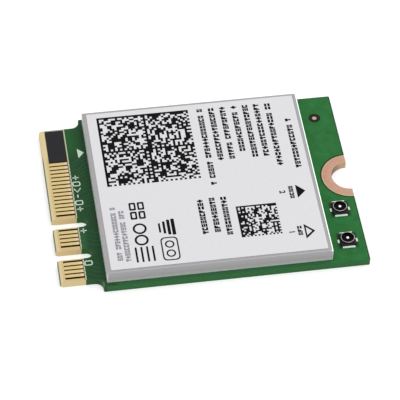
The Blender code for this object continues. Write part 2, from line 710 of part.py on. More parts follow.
def build_socket_shell(name, centre, parts, cutters, metal):
    """Outer contact of a socket: a lipped ring that stands on three flat legs."""
    rim = TOP + SOCKET_HEIGHT
    inner = SHELL_RADIUS - SHELL_WALL
    waist = SHELL_RADIUS - SHELL_GROOVE
    lip = rim - SHELL_LIP_HEIGHT
    profile = [
        (SHELL_RADIUS - SHELL_GROOVE, rim),
        (SHELL_RADIUS, rim - SHELL_GROOVE),
        (SHELL_RADIUS, lip),
        (waist, lip - SHELL_GROOVE),
        (waist, TOP + HOUSING_HEIGHT + SHELL_GROOVE),
        (SHELL_RADIUS, TOP + HOUSING_HEIGHT),
        (SHELL_RADIUS, TOP + SOLDER_GAP),
        (inner, TOP + SOLDER_GAP),
        (inner, rim - SHELL_GROOVE),
        (inner + SHELL_GROOVE, rim),
    ]
    shell = add_mesh(f"{name}_shell", turned_mesh(name, profile, centre, SMALL_STEPS), parts, metal)
    reach = SHELL_RADIUS + OVERCUT
    ground = GROUND_LEG_WIDTH / 2
    small = SMALL_TAB_WIDTH / 2
    between = [
        ((ground, -reach, -OVERCUT), (reach, reach, SHELL_FOOT_LIFT)),
        ((-reach, small, -OVERCUT), (-ground, reach, SHELL_FOOT_LIFT)),
        ((-reach, -reach, -OVERCUT), (-ground, -small, SHELL_FOOT_LIFT)),
    ]
    boolean(shell, "DIFFERENCE", add_mesh(
        f"cut_{name}_feet", boxes_mesh("between_feet", shifted(between, centre)), cutters))
    start = math.sqrt(inner ** 2 - ground ** 2)
    for side, width, tab in (
        (90, GROUND_LEG_WIDTH, GROUND_TAB_WIDTH),
        (180, SMALL_TAB_WIDTH, SMALL_TAB_WIDTH),
        (270, GROUND_LEG_WIDTH, GROUND_TAB_WIDTH),
    ):
        leg, plate = leg_boxes(side, start + SHELL_WALL / 4, width - FINE_GAP, tab)
        for part_name, span in (("leg", leg), ("tab", plate)):
            tool = add_mesh(f"join_{name}_{part_name}_{side}",
                            boxes_mesh(part_name, shifted([span], centre)), cutters)
            boolean(shell, "UNION", tool)
    shade_round(shell)


def build_socket_pin(name, centre, parts, cutters, metal):
    """Centre contact of a socket: a domed pin with a flat leg and soldering tab."""
    tip = TOP + SOCKET_HEIGHT - PIN_SHORT_OF_RIM
    dome = [
        (PIN_RADIUS * math.sin(math.radians(a)), tip - PIN_RADIUS * (1 - math.cos(math.radians(a))))
        for a in (0, 30, 60, 90)
    ]
    profile = dome + [(PIN_RADIUS, TOP + SOLDER_GAP), (0.0, TOP + SOLDER_GAP)]
    pin = add_mesh(f"{name}_pin", turned_mesh(name, profile, centre, SMALL_STEPS // 2), parts, metal)
    leg, plate = leg_boxes(0, 0.0, SIGNAL_LEG_WIDTH, SMALL_TAB_WIDTH)
    for part_name, span in (("leg", leg), ("tab", plate)):
        tool = add_mesh(f"join_{name}_signal_{part_name}",
                        boxes_mesh(part_name, shifted([span], centre)), cutters)
        boolean(pin, "UNION", tool)
    shade_round(pin)


def inside_place(share):
    """Point on the board, from its share of the way from the can's centre to the frame."""
    centre_x, centre_y = SHIELD_CENTRE
    return (centre_x + share[0] * INSIDE_HALF_LENGTH, centre_y + share[1] * INSIDE_HALF_WIDTH)


def chip_mesh(name, size, cutters):
    """Moulded chip package: drafted sides, soft edges and a dimple by its first terminal."""
    length, width, height = size
    bm = bmesh.new()
    place = Matrix.Translation((0.0, 0.0, height / 2)) @ Matrix.Diagonal((length, width, height, 1.0))
    bmesh.ops.create_cube(bm, size=1.0, matrix=place)
    for vert in bm.verts:
        if vert.co.z > height / 2:
            vert.co.x -= math.copysign(CHIP_DRAFT, vert.co.x)
            vert.co.y -= math.copysign(CHIP_DRAFT, vert.co.y)
    bmesh.ops.bevel(bm, geom=bm.edges[:], offset=CHIP_EDGE, segments=1, affect="EDGES")
    chip = add_mesh(f"form_{name}", mesh_from(bm, name), cutters)
    corner = (-length / 2 + PIN_ONE_INSET, width / 2 - PIN_ONE_INSET)
    profile = disc_profile(PIN_ONE_RADIUS, height - PIN_ONE_DEPTH, height + OVERCUT)
    dimple = add_mesh(f"cut_{name}_dimple",
                      turned_mesh(f"{name}_dimple", profile, corner, SMALL_STEPS // 2), cutters)
    boolean(chip, "DIFFERENCE", dimple)
    return settled_mesh(chip)


def two_end_mesh(name, size, cutters):
    """Chip component with a metal cap at each end, a little larger than its body."""
    length, width, height = size
    cap = length * END_CAP_SHARE
    step = END_CAP_STEP
    body = [((-length / 2 + step, -width / 2 + step, step), (length / 2 - step, width / 2 - step,
             height - step))]
    caps = [
        ((-length / 2, -width / 2, 0.0), (-length / 2 + cap, width / 2, height)),
        ((length / 2 - cap, -width / 2, 0.0), (length / 2, width / 2, height)),
    ]
    item = add_mesh(f"form_{name}", boxes_mesh(name, body), cutters)
    boolean(item, "UNION", add_mesh(f"join_{name}_caps", boxes_mesh(f"{name}_caps", caps), cutters))
    return settled_mesh(item)


def place_part(name, mesh, place, parts, material, quarter_turn=False):
    """Stand one surface-mounted part on the board's top."""
    item = add_mesh(name, mesh, parts, material)
    item.location = (place[0], place[1], TOP + SOLDER_GAP)
    if quarter_turn:
        item.rotation_euler.z = math.pi / 2
    return item


def build_radio(parts, cutters, plastic, ceramic):
    """Radio chip, with three capacitors along each of its sides."""
    centre = inside_place(RADIO_CHIP_PLACE)
    size = (RADIO_CHIP_SIDE, RADIO_CHIP_SIDE, CHIP_HEIGHT)
    place_part("radio_chip", chip_mesh("radio_chip", size, cutters), centre, parts, plastic)
    capacitor = (CAPACITOR_LENGTH, CAPACITOR_WIDTH, CAPACITOR_WIDTH)
    mesh = two_end_mesh("capacitor", capacitor, cutters)
    reach = RADIO_CHIP_SIDE / 2 + CAPACITOR_FROM_CHIP + CAPACITOR_WIDTH / 2
    number = 0
    for side in (-1, 1):
        for step in (-1, 0, 1):
            along = step * CAPACITOR_SPACING
            for offset, quarter_turn in (((along, side * reach), False), ((side * reach, along), True)):
                number += 1
                place = (centre[0] + offset[0], centre[1] + offset[1])
                place_part(f"capacitor_{number:02d}", mesh, place, parts, ceramic, quarter_turn)


def build_resistors(parts, cutters, material):
    """Row of resistors behind the contact tongue."""
    mesh = two_end_mesh("resistor", (CAPACITOR_LENGTH, CAPACITOR_WIDTH, RESISTOR_HEIGHT), cutters)
    centre = inside_place(RESISTOR_PLACE)
    for index in range(RESISTOR_COUNT):
        offset = (index - (RESISTOR_COUNT - 1) / 2) * RESISTOR_PITCH
        place_part(f"resistor_{index + 1:02d}", mesh, (centre[0], centre[1] + offset), parts, material)


def build_crystal(parts, ceramic, metal):
    """Clock crystal: a ceramic case with a metal lid welded on."""
    place = inside_place(CRYSTAL_PLACE)
    half_length, half_width = CRYSTAL_LENGTH / 2, CRYSTAL_WIDTH / 2
    base = [((-half_length, -half_width, 0.0), (half_length, half_width, CRYSTAL_HEIGHT))]
    place_part("crystal_case", boxes_mesh("crystal_case", base), place, parts, ceramic)
    lid_x, lid_y = half_length - CRYSTAL_LID_MARGIN, half_width - CRYSTAL_LID_MARGIN
    outline = rounded_rectangle(-lid_x, lid_x, -lid_y, lid_y, CRYSTAL_LID_RADIUS)
    low = CRYSTAL_HEIGHT + FINE_GAP
    lid = flat_mesh("crystal_lid", outline, low, low + CRYSTAL_LID_HEIGHT)
    place_part("crystal_lid", lid, place, parts, metal)


def build_card():
    """Build every piece of the card."""
    clear_scene()
    parts = new_collection("wireless_card")
    cutters = new_collection("cutters")
    mask = finish("green_solder_mask", 0.026, 0.150, 0.045, 0.42)
    copper = finish("plated_copper", 0.640, 0.370, 0.270, 0.45, 0.6)
    film = finish("black_film", 0.032, 0.031, 0.035, 0.55)
    tinned = finish("tinned_steel", 0.420, 0.405, 0.420, 0.40, 0.8)
    paper = finish("label_stock", 0.760, 0.750, 0.765, 0.60)
    black = finish("black_moulding", 0.020, 0.018, 0.020, 0.50)
    silver = finish("plated_contact", 0.700, 0.690, 0.680, 0.30, 1.0)
    epoxy = finish("chip_moulding", 0.030, 0.030, 0.032, 0.65)
    tan = finish("tan_ceramic", 0.420, 0.290, 0.170, 0.50)
    dark = finish("dark_ceramic", 0.060, 0.060, 0.070, 0.50)

    build_board(parts, cutters, mask)
    build_screw_pad(parts, cutters, copper)
    build_film(parts, film)
    build_shield_frame(parts, cutters, tinned)
    build_shield_cover(parts, tinned)
    build_label(parts, paper)
    for name, y in (("main_socket", MAIN_SOCKET_Y), ("aux_socket", AUX_SOCKET_Y)):
        centre = (SOCKET_X, y)
        build_socket_housing(name, centre, parts, cutters, black)
        build_socket_shell(name, centre, parts, cutters, silver)
        build_socket_pin(name, centre, parts, cutters, silver)
    build_radio(parts, cutters, epoxy, tan)
    build_resistors(parts, cutters, dark)
    build_crystal(parts, tan, tinned)
    for name, size, share in CHIPS:
        place_part(name, chip_mesh(name, size, cutters), inside_place(share), parts, epoxy)
    for table, quarter_turn in ((INLINE_PARTS, False), (CROSSWISE_PARTS, True)):
        for name, size, share in table:
            mesh = two_end_mesh(name, size, cutters)
            place_part(name, mesh, inside_place(share), parts, dark, quarter_turn)


build_card()
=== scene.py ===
"""Looks of a plug-in wireless card: board, gilded contacts, shield can, printed label and aerial sockets.

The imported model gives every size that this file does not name. Meshes are drawn in millimetres
and turned to metres as they become pieces. +X runs from the contact edge to the screw end,
+Y across the board, and +Z out of the component side.
"""
import json
import logging
import math
from dataclasses import dataclass, field
from enum import Enum
from typing import Any, Iterable, Sequence

import bmesh
import bpy
from mathutils import Matrix, Vector


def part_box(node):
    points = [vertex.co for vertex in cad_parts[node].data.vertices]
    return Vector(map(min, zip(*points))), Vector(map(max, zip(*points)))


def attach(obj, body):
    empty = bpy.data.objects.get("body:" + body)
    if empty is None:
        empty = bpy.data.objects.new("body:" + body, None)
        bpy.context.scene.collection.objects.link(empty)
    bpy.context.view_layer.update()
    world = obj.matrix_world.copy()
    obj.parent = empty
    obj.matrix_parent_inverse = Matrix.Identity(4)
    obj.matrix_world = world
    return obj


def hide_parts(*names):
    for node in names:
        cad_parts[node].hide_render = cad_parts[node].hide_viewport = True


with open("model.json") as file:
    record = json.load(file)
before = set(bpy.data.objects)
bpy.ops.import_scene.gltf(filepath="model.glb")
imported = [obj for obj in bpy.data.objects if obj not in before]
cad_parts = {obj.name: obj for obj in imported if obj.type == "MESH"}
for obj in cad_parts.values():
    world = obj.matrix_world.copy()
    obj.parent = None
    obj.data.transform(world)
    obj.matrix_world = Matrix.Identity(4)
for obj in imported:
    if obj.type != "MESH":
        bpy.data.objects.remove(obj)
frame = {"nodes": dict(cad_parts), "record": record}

MM = 0.001
BODY = "root"
SHARP_DEGREES = 32.0
# Points nearer to each other than this become one
WELD = 0.0005
SOCKETS = ("main", "aux")
# Radii of the half hole for the screw and of the pad round it
HOLE_RADIUS = 1.75
PAD_RADIUS = 2.75
# From one contact to the next on the same face
CONTACT_SPACING = 0.5

log = logging.getLogger("wireless_card")

Tree, Node, Socket = bpy.types.NodeTree, bpy.types.Node, bpy.types.NodeSocket
Object, Material = bpy.types.Object, bpy.types.Material
Mesh, BMesh = bpy.types.Mesh, bmesh.types.BMesh
# What an input can be linked from; a node stands for its first output
Source = Node | Socket
Point = tuple[float, float]
Ring = list[Vector]
Inputs = dict[Any, Any]
Limits = dict[str, tuple[float | None, ...]]


def linear(shade: str) -> tuple[float, float, float, float]:
    """Turns an sRGB hex colour into linear light.

    Args:
        shade: colour written as #rrggbb.

    Returns:
        Red, green, blue and full alpha.
    """
    parts = [int(shade[i:i + 2], 16) / 255 for i in (1, 3, 5)]
    return (*[p / 12.92 if p <= 0.04045 else ((p + 0.055) / 1.055) ** 2.4 for p in parts], 1.0)


def set_inputs(tree: Tree, node: Node, inputs: Inputs) -> None:
    """Gives a node's inputs their values and links.

    Args:
        tree: the node's tree.
        node: the node.
        inputs: socket name or number to a value, a hex colour, a source or a list of sources.
    """
    for key, value in inputs.items():
        for source in value if isinstance(value, list) else [value]:
            if isinstance(source, Source):
                tree.links.new(source.outputs[0] if isinstance(source, Node) else source, node.inputs[key])
            else:
                node.inputs[key].default_value = linear(source) if isinstance(source, str) else source


def add_node(tree: Tree, kind: str, inputs: Inputs | None = None, **settings: Any) -> Node:
    """Adds a node to a shader or geometry tree, with its settings, values and links.

    Args:
        tree: tree that the node joins.
        kind: the node's type.
        inputs: what set_inputs takes.
        settings: the node's own settings.

    Returns:
        The new node.
    """
    node = tree.nodes.new(kind)
    for name, value in settings.items():
        setattr(node, name, value)
    set_inputs(tree, node, inputs or {})
    return node


@dataclass(frozen=True)
class Span:
    """A box in millimetres, from its low to its high corner."""

    low: Vector
    high: Vector

    @classmethod
    def of(cls, node: str) -> "Span":
        """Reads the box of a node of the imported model."""
        low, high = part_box(node)
        return cls(low / MM, high / MM)

    @property
    def centre(self) -> Vector:
        """The middle of the box."""
        return (self.low + self.high) / 2

    def ring(self, inset: float, radius: float, height: float, steps: int = 8) -> Ring:
        """Walks round the box at one height, with round corners.

        Args:
            inset: distance inside the box's sides.
            radius: corner radius.
            height: height of the ring.
            steps: straight pieces in each corner.

        Returns:
            Points in anticlockwise order, as many for any inset.
        """
        reach = (self.high - self.low) / 2
        points = []
        for corner in range(4):
            for step in range(steps + 1):
                angle = (corner + step / steps) * math.pi / 2
                side_x = 1 if corner in (0, 3) else -1
                side_y = 1 if corner < 2 else -1
                points.append(Vector((
                    self.centre.x + side_x * (reach.x - inset - radius) + radius * math.cos(angle),
                    self.centre.y + side_y * (reach.y - inset - radius) + radius * math.sin(angle),
                    height,
                )))
        return points


def span_field(node: str) -> Any:
    """A dataclass field that starts as the box of a node."""
    return field(default_factory=lambda: Span.of(node))


def circle(centre: Point, radius: float, height: float, steps: int = 64) -> Ring:
    """Walks round a level circle, anticlockwise."""
    (x, y), angles = centre, [math.tau * i / steps for i in range(steps)]
    return [Vector((x + radius * math.cos(a), y + radius * math.sin(a), height)) for a in angles]


def oblong(middle: Point, reach: Point) -> list[Point]:
    """Walks round a rectangle, given by its middle and its half sizes, anticlockwise."""
    (x, y), (a, b) = middle, reach
    return [(x - a, y - b), (x + a, y - b), (x + a, y + b), (x - a, y + b)]


def soften(profile: Sequence[Point], radius: float, steps: int = 3) -> list[Point]:
    """Rounds the corners of a closed outline.

    Args:
        profile: corners in order.
        radius: how far from a corner its rounding starts, at most half of each side.
        steps: straight pieces in each rounding.

    Returns:
        The softened outline.
    """
    points = []
    for before, corner, after in zip([profile[-1], *profile[:-1]], profile, [*profile[1:], profile[0]]):
        start, middle, end = Vector(before), Vector(corner), Vector(after)
        first = middle + (start - middle).normalized() * min(radius, (start - middle).length / 2.01)
        last = middle + (end - middle).normalized() * min(radius, (end - middle).length / 2.01)
        for step in range(steps + 1):
            share = step / steps
            spot = first * (1 - share) ** 2 + middle * 2 * share * (1 - share) + last * share ** 2
            points.append((spot.x, spot.y))
    return points


def loft(bm: BMesh, rings: Sequence[Ring], joined: bool = False) -> None:
    """Skins a row of rings that have as many points each.

    Args:
        bm: mesh that the skin joins.
        rings: rings in order.
        joined: whether the last ring meets the first; otherwise both ends get a cap.
    """
    rows = [[bm.verts.new(point) for point in ring] for ring in rings]
    for low, high in zip(rows, rows[1:] + rows[:1] if joined else rows[1:]):
        for i in range(len(low)):
            j = (i + 1) % len(low)
            bm.faces.new((low[i], low[j], high[j], high[i]))
    if not joined:
        bm.faces.new(rows[0][::-1])
        bm.faces.new(rows[-1])


def plate(bm: BMesh, outline: Sequence[Point], low: float, high: float) -> None:
    """Adds a flat plate over an outline, between two heights."""
    loft(bm, [[Vector((x, y, z)) for x, y in outline] for z in (low, high)])


def band(bm: BMesh, outer: Sequence[Point], inner: Sequence[Point], low: float, high: float) -> None:
    """Adds a flat band between two outlines that have as many points each."""
    loft(bm, [[Vector((x, y, z)) for x, y in line]
              for line, z in ((outer, low), (outer, high), (inner, high), (inner, low))], joined=True)


def mesh_of(bm: BMesh, name: str) -> Mesh:
    """Turns a bmesh into a mesh with its faces pointing out.

    Args:
        bm: mesh in the making, freed here.
        name: name of the result.

    Returns:
        The mesh, still in millimetres.
    """
    bmesh.ops.recalc_face_normals(bm, faces=bm.faces)
    mesh = bpy.data.meshes.new(name)
    bm.to_mesh(mesh)
    bm.free()
    return mesh


def points_mesh(points: Sequence[Sequence[float]], lines: Sequence[tuple[int, int]] = ()) -> Mesh:
    """Makes a mesh of loose points, or of the lines between them.

    Args:
        points: places in millimetres.
        lines: pairs of points by their numbers.

    Returns:
        The mesh, for a tree to grow on.
    """
    mesh = bpy.data.meshes.new("base")
    mesh.from_pydata([tuple(point) for point in points], list(lines), [])
    return mesh


def new_object(name: str, data: bpy.types.ID) -> Object:
    """Makes an object and links it to the scene.

    Args:
        name: the object's name.
        data: its mesh, curve, camera or light.

    Returns:
        The object.
    """
    made = bpy.data.objects.new(name, data)
    bpy.context.scene.collection.objects.link(made)
    return made


def settled_mesh(holder: Object) -> Mesh:
    """Turns what an object shows into a plain mesh, and clears the object away.

    Args:
        holder: object with a modifier, or a text.

    Returns:
        The mesh.
    """
    bpy.context.view_layer.update()
    seen = holder.evaluated_get(bpy.context.evaluated_depsgraph_get())
    mesh = bpy.data.meshes.new_from_object(seen)
    holder.modifiers.clear()
    bpy.data.objects.remove(holder, do_unlink=True)
    return mesh


def add_piece(name: str, mesh: Mesh, finish: "Finish",
              replaced: Iterable[str] = ()) -> Object:
    """Makes a finished piece of the card from a mesh in millimetres.

    Args:
        name: the piece's name.
        mesh: its mesh, with its place in it.
        finish: its surface.
        replaced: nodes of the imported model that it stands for.

    Returns:
        The piece, which rides on the card's body.
    """
    mesh.transform(Matrix.Scale(MM, 4))
    mesh.materials.clear()
    mesh.materials.append(finish.material())
    mesh.shade_smooth()
    mesh.set_sharp_from_angle(angle=math.radians(SHARP_DEGREES))
    piece = new_object(name, mesh)
    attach(piece, BODY)
    for node in replaced:
        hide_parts(node)
    log.info("%s: %d faces, %s", name, len(mesh.polygons), finish.title)
    return piece


def dress_node(name: str, finish: "Finish") -> None:
    """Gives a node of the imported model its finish.

    Args:
        name: the node.
        finish: its surface.
    """
    node = frame["nodes"][name]
    node.data.materials.clear()
    node.data.materials.append(finish.material())
    log.info("%s: kept, %s", name, finish.title)


# Finishes

CARD = Span.of("circuit_board")
AXES = ("along", "across", "up")
# Middles that zones measure from: round ones, and those of the sockets' square bases
ROUND_MIDDLES: dict[str, Point] = {"from_hole": (CARD.high.x, 0.0), "from_mark": (12.97, 8.14)}
SQUARE_MIDDLES = {f"from_{name}": Span.of(f"{name}_socket_housing").centre.xy for name in SOCKETS}


class Measures:
    """What the zones of a finish may name, each made in its tree when a zone first names it.

    along, across and up give the place on the card. level is 1 on faces that lie flat and 0 on upright
    ones. depth is the distance from the nearer face of the board, and groove that from the nearest
    groove between contacts. The names that start with from_ are distances from a middle.
    """

    def __init__(self, tree: Tree, place: Source) -> None:
        """Starts with no measure made.

        Args:
            tree: the finish's tree.
            place: position in millimetres.
        """
        self.tree = tree
        self.place = place
        self.made: dict[str, Source] = {}

    def __getitem__(self, name: str) -> Source:
        """Finds a measure by its name, or makes it.

        Args:
            name: the measure's name.

        Returns:
            Its output.
        """
        if name not in self.made:
            self.made[name] = self.make(name)
        return self.made[name]

    def make(self, name: str) -> Source:
        """Makes a measure.

        Args:
            name: the measure's name.

        Returns:
            Its output.
        """
        tree = self.tree
        if name in AXES:
            return add_node(tree, "ShaderNodeSeparateXYZ", {0: self.place}).outputs[AXES.index(name)]
        if name == "level":
            normal = add_node(tree, "ShaderNodeNewGeometry").outputs["True Normal"]
            slope = add_node(tree, "ShaderNodeSeparateXYZ", {0: normal}).outputs[2]
            return add_node(tree, "ShaderNodeMath", {0: slope}, operation="ABSOLUTE")
        if name == "depth":
            below = add_node(tree, "ShaderNodeMath", {0: CARD.high.z, 1: self["up"]}, operation="SUBTRACT")
            return add_node(tree, "ShaderNodeMath", {0: below, 1: self["up"]}, operation="MINIMUM")
        if name == "groove":
            return add_node(tree, "ShaderNodeMath", {
                0: self["across"], 1: CONTACT_SPACING / 2}, operation="PINGPONG")
        flat = add_node(tree, "ShaderNodeCombineXYZ", {0: self["along"], 1: self["across"]})
        if name in ROUND_MIDDLES:
            return add_node(tree, "ShaderNodeVectorMath", {
                0: flat, 1: (*ROUND_MIDDLES[name], 0.0)}, operation="DISTANCE").outputs["Value"]
        offset = add_node(tree, "ShaderNodeVectorMath", {
            0: flat, 1: (*SQUARE_MIDDLES[name], 0.0)}, operation="SUBTRACT")
        sizes = add_node(tree, "ShaderNodeVectorMath", {0: offset}, operation="ABSOLUTE")
        reach = add_node(tree, "ShaderNodeSeparateXYZ", {0: sizes}).outputs
        return add_node(tree, "ShaderNodeMath", {0: reach[0], 1: reach[1]}, operation="MAXIMUM")


@dataclass(frozen=True)
class Zone:
    """A patch of a surface with its own colour and share of metal, and its own roughness where it has one.

    It lies where every named measure is between its limits, in millimetres. None leaves a side open,
    and a third number is the softness of those limits alone.
    """

    shade: str
    limits: Limits
    softness: float = 0.01
    metallic: float = 0.0
    roughness: float | None = None

    def mask(self, measures: Measures) -> Source:
        """Works out where the zone lies.

        Args:
            measures: what the limits may name.

        Returns:
            1 inside the zone and 0 outside, with soft edges.
        """
        tree = measures.tree
        result: Any = 1.0
        for name, (low, high, *own) in self.limits.items():
            half = (own[0] if own else self.softness) / 2
            for limit, way in ((low, half), (high, -half)):
                if limit is not None:
                    edge = add_node(tree, "ShaderNodeMapRange", {
                        "Value": measures[name], "From Min": limit - way, "From Max": limit + way})
                    result = add_node(tree, "ShaderNodeMath", {0: result, 1: edge}, operation="MULTIPLY")
        return result


@dataclass(frozen=True)
class Finish:
    """A surface: its two shades, how it was made, how far it wanders and the zones laid over it.

    Lengths are in millimetres. Grain is stretched along X by its stretch.
    """

    title: str
    shade: str
    second_shade: str
    roughness: float
    metallic: float = 0.0
    grain: float = 0.5
    stretch: float = 1.0
    relief: float = 0.0
    roughness_spread: float = 0.06
    specular: float = 0.5
    zones: tuple[Zone, ...] = ()

    def material(self) -> Material:
        """Builds the material once, and finds it again after that.

        Returns:
            The material.
        """
        found = bpy.data.materials.get(self.title)
        if found is not None:
            return found
        material = bpy.data.materials.new(self.title)
        material.use_nodes = True
        tree = material.node_tree
        shader = tree.nodes["Principled BSDF"]
        raw = add_node(tree, "ShaderNodeTexCoord").outputs["Object"]
        place = add_node(tree, "ShaderNodeVectorMath", {0: raw, "Scale": 1 / MM}, operation="SCALE")
        drawn = add_node(tree, "ShaderNodeMapping", {"Vector": place, "Scale": (1 / self.stretch, 1, 1)})
        grain = add_node(tree, "ShaderNodeTexNoise", {
            "Vector": drawn, "Scale": 1 / self.grain, "Detail": 4.0, "Roughness": 0.6})
        wander = add_node(tree, "ShaderNodeMapRange", {"Value": grain, "From Min": 0.3, "From Max": 0.7})
        set_inputs(tree, shader, {"Roughness": self.roughness, "Specular IOR Level": self.specular})
        rough = add_node(tree, "ShaderNodeMapRange", {
            "Value": wander, "To Min": self.roughness - self.roughness_spread,
            "To Max": self.roughness + self.roughness_spread})
        self.lay_zones(tree, shader, Measures(tree, place), wander, rough)
        if self.relief:
            bump = add_node(tree, "ShaderNodeBump", {"Height": grain, "Distance": self.relief * MM})
            set_inputs(tree, shader, {"Normal": bump})
        return material

    def lay_zones(self, tree: Tree, shader: Node, measures: Measures, wander: Source, rough: Source) -> None:
        """Colours the surface between its two shades and lays the zones over it in order.

        Args:
            tree: the material's tree.
            shader: its shader.
            measures: what the zones may name.
            wander: grain from 0 to 1.
            rough: roughness of the bare surface.
        """
        colour = add_node(tree, "ShaderNodeMix", {
            0: wander, 6: self.shade, 7: self.second_shade}, data_type="RGBA").outputs[2]
        metallic: Any = self.metallic
        for zone in self.zones:
            mask = zone.mask(measures)
            colour = add_node(tree, "ShaderNodeMix", {
                0: mask, 6: colour, 7: zone.shade}, data_type="RGBA").outputs[2]
            if metallic != zone.metallic:
                metallic = add_node(tree, "ShaderNodeMix", {0: mask, 2: metallic, 3: zone.metallic})
            if zone.roughness is not None:
                rough = add_node(tree, "ShaderNodeMix", {0: mask, 2: rough, 3: zone.roughness})
        set_inputs(tree, shader, {"Base Color": colour, "Roughness": rough, "Metallic": metallic})


# Limits that many zones share: upright faces, all others, level faces, and the component side
UPRIGHT: Limits = {"level": (None, 0.35)}
FACING: Limits = {"level": (0.35, None)}
LEVEL: Limits = {"level": (0.5, None)}
TOP: Limits = {"up": (0.5, None)}
# Along the card, where the mask ends and the contact field begins
FIELD_END = -12.5
# The floor of the grooves between contacts
GROOVE_FLOOR: Limits = {"along": (-14.44, -12.56), "up": (0.6, 0.785)}
# Across the card, the first and last groove of each group of contacts, as far as the film
CONTACT_GROUPS = ((-9.5, -7.5), (-5.5, -3.5), (-1.5, 5.0))
# The wider grooves at the ends of the groups, without the one beside the film
END_GROOVES = [end for group in CONTACT_GROUPS for end in group][:-1]
# Across the card, the middles of the key notches
KEY_NOTCHES = (-6.625, -2.625)

# The board's zones, each laid over those before it
BOARD_ZONES = (
    # Painted shade: the mask is painted darker along the near strip and behind the contacts, towards the
    # can, where its shade falls
    Zone("#366a42", {"across": (None, -10.3), "along": (None, 11.2), **LEVEL}, 0.3),
    Zone("#316f3b", UPRIGHT),
    Zone("#234b2b", {"along": (None, -10.3), "across": (-10.2, None), **LEVEL}, 0.3),
    # Painted light: lighter patches in that shade, between the notches and at the far left by the film
    Zone("#2f6038", {"along": (-12.6, -11.9), "across": (-6.2, -3.2), **LEVEL}, 0.4),
    Zone("#27622f", {"along": (-12.7, -11.5), "across": (6.5, None), **LEVEL}, 1.4),
    # Painted shadow on the mask at the foot of the can's left wall
    Zone("#254830", {"along": (-10.85, -10.3), "across": (-10.3, None), **LEVEL}, 0.35),
    # Painted shade on the upright wall of the shoulder
    Zone("#2a5434", {"along": (None, -10.6), "across": (None, -9.9), **UPRIGHT}, 0.1),
    # Painted shade: darker mask at the near-left corner, beside the can
    Zone("#2f5636", {"along": (None, -9.6), "across": (None, -10.3), **LEVEL}, 0.5),
    # Painted highlight: a pale green line along the top edge of the shoulder
    Zone("#6d9a74", {"along": (None, -10.83), "across": (None, -10.45), **LEVEL}, 0.03),
    # Darker mask at the sawn screw end and along the far edge, and a painted shadow on the mask at the foot
    # of the can's right side
    Zone("#173c1e", {"along": (14.9, None)}, 0.04),
    Zone("#265c30", {"along": (11.3, 11.5), "across": (-10.5, None), **LEVEL, **TOP}, 0.06),
    Zone("#1d4725", {"across": (10.9, None), "along": (11.4, None), **LEVEL, **TOP}, 0.06),
    # Painted shade: darker mask round each socket's base
    *(Zone("#1c4c25", {f"from_{name}": (None, 0.98), **TOP}, 0.20) for name in SOCKETS),
    # Contact field: bare laminate walls, painted paler than the laminate to make up for the shade on them;
    # gilded faces; and groove floors painted dark as the shade in the grooves
    Zone("#f2dca8", {"along": (None, FIELD_END), **UPRIGHT}),
    Zone("#4a5044", {"along": (None, -14.93), **UPRIGHT}),
    Zone("#d0b685", {"along": (None, FIELD_END), **FACING, "depth": (0.01, 0.045)}, metallic=1.0),
    Zone("#5d5034", {"along": (-12.61, -12.54), **FACING}),
    Zone("#cfd4b6", {"along": (-12.54, -12.43), **FACING}, 0.02),
    Zone("#d3bb86", {"along": (None, -14.42), **FACING}, metallic=1.0),
    Zone("#d8cda2", {"along": (None, -14.66), **FACING}, metallic=1.0),
    Zone("#7d7764", {"along": (None, -14.91), **FACING}, 0.04),
    # Painted shade: dark brown groove floors, and near black in the wider grooves at the ends of the groups
    *(Zone("#4a3000", {**GROOVE_FLOOR, "groove": (None, 0.085), "across": (first - 0.1, last + 0.1)})
      for first, last in CONTACT_GROUPS),
    *(Zone("#140900", {**GROOVE_FLOOR, "across": (end - 0.14, end + 0.14)}) for end in END_GROOVES),
    # The key notches' walls, painted pale like the tongue's sides to make up for their shade
    *(Zone("#f2dca8", {"along": (None, FIELD_END), "across": (middle - 0.7, middle + 0.7), **UPRIGHT})
      for middle in KEY_NOTCHES),
    # The margin beyond the last contact, where the film lies
    Zone("#dccb9c", {"along": (None, -13.9), "across": (6.2, None)}, 1.0, metallic=1.0),
    Zone("#77785f", {"along": (None, -14.93), "across": (5.4, None), **UPRIGHT}),
    Zone("#a8a898", {"along": (-14.42, -12.6), "across": (9.74, None), **FACING}),
    # Alignment mark: a dark ring of laminate round a copper dot
    Zone("#25231a", {"from_mark": (None, 0.62), **TOP, "depth": (0.008, 0.3)}),
    Zone("#d2b3ac", {"from_mark": (None, 0.215), **TOP}),
    # Clearance round the screw pad
    Zone("#2a3a17", {"from_hole": (None, PAD_RADIUS + 0.15), "depth": (None, 0.2)}, 0.06),
)
# How metallic the coated copper is, and how far from the hole's middle its wall counts
COPPER_METAL = 0.6
WALL_LIMITS = (None, HOLE_RADIUS + 0.02, 0.02)
# Roughness of the bands on the can that are painted lighter, as light and highlight
LIGHT_BAND_ROUGHNESS = 0.28
# Solder on the sockets' tabs, painted near white as the light on them
SOLDERED_TAB_PAINTED_LIGHT = Zone("#ecfff0", {"up": (None, 0.934)}, 0.008)

# Semi-gloss green mask over woven glass: colour comes through unevenly, with a soft shine
BOARD = Finish("green solder mask on glass epoxy", "#26692d", "#2d7a40", 0.45, grain=0.9, relief=0.004,
               roughness_spread=0.05, specular=0.12, zones=BOARD_ZONES)
# Copper tracks under the mask lift it and lighten its green; round the key notches the same green is a
# painted highlight on their edges
TRACK_AND_EDGE_HIGHLIGHT = Finish("mask over copper track", "#2a5634", "#30603c", 0.42, grain=0.4, specular=0.12)
# Electroplated hard gold: warm, satin, brushed lengthwise by the edge connector, paler at its inner end
GOLD = Finish("hard gold plating", "#d6be82", "#dfca94", 0.30, 1.0, grain=0.10, stretch=12.0, relief=0.001,
              zones=(Zone("#e2cca4", {"along": (-12.90, None)}, 0.30, metallic=1.0),))
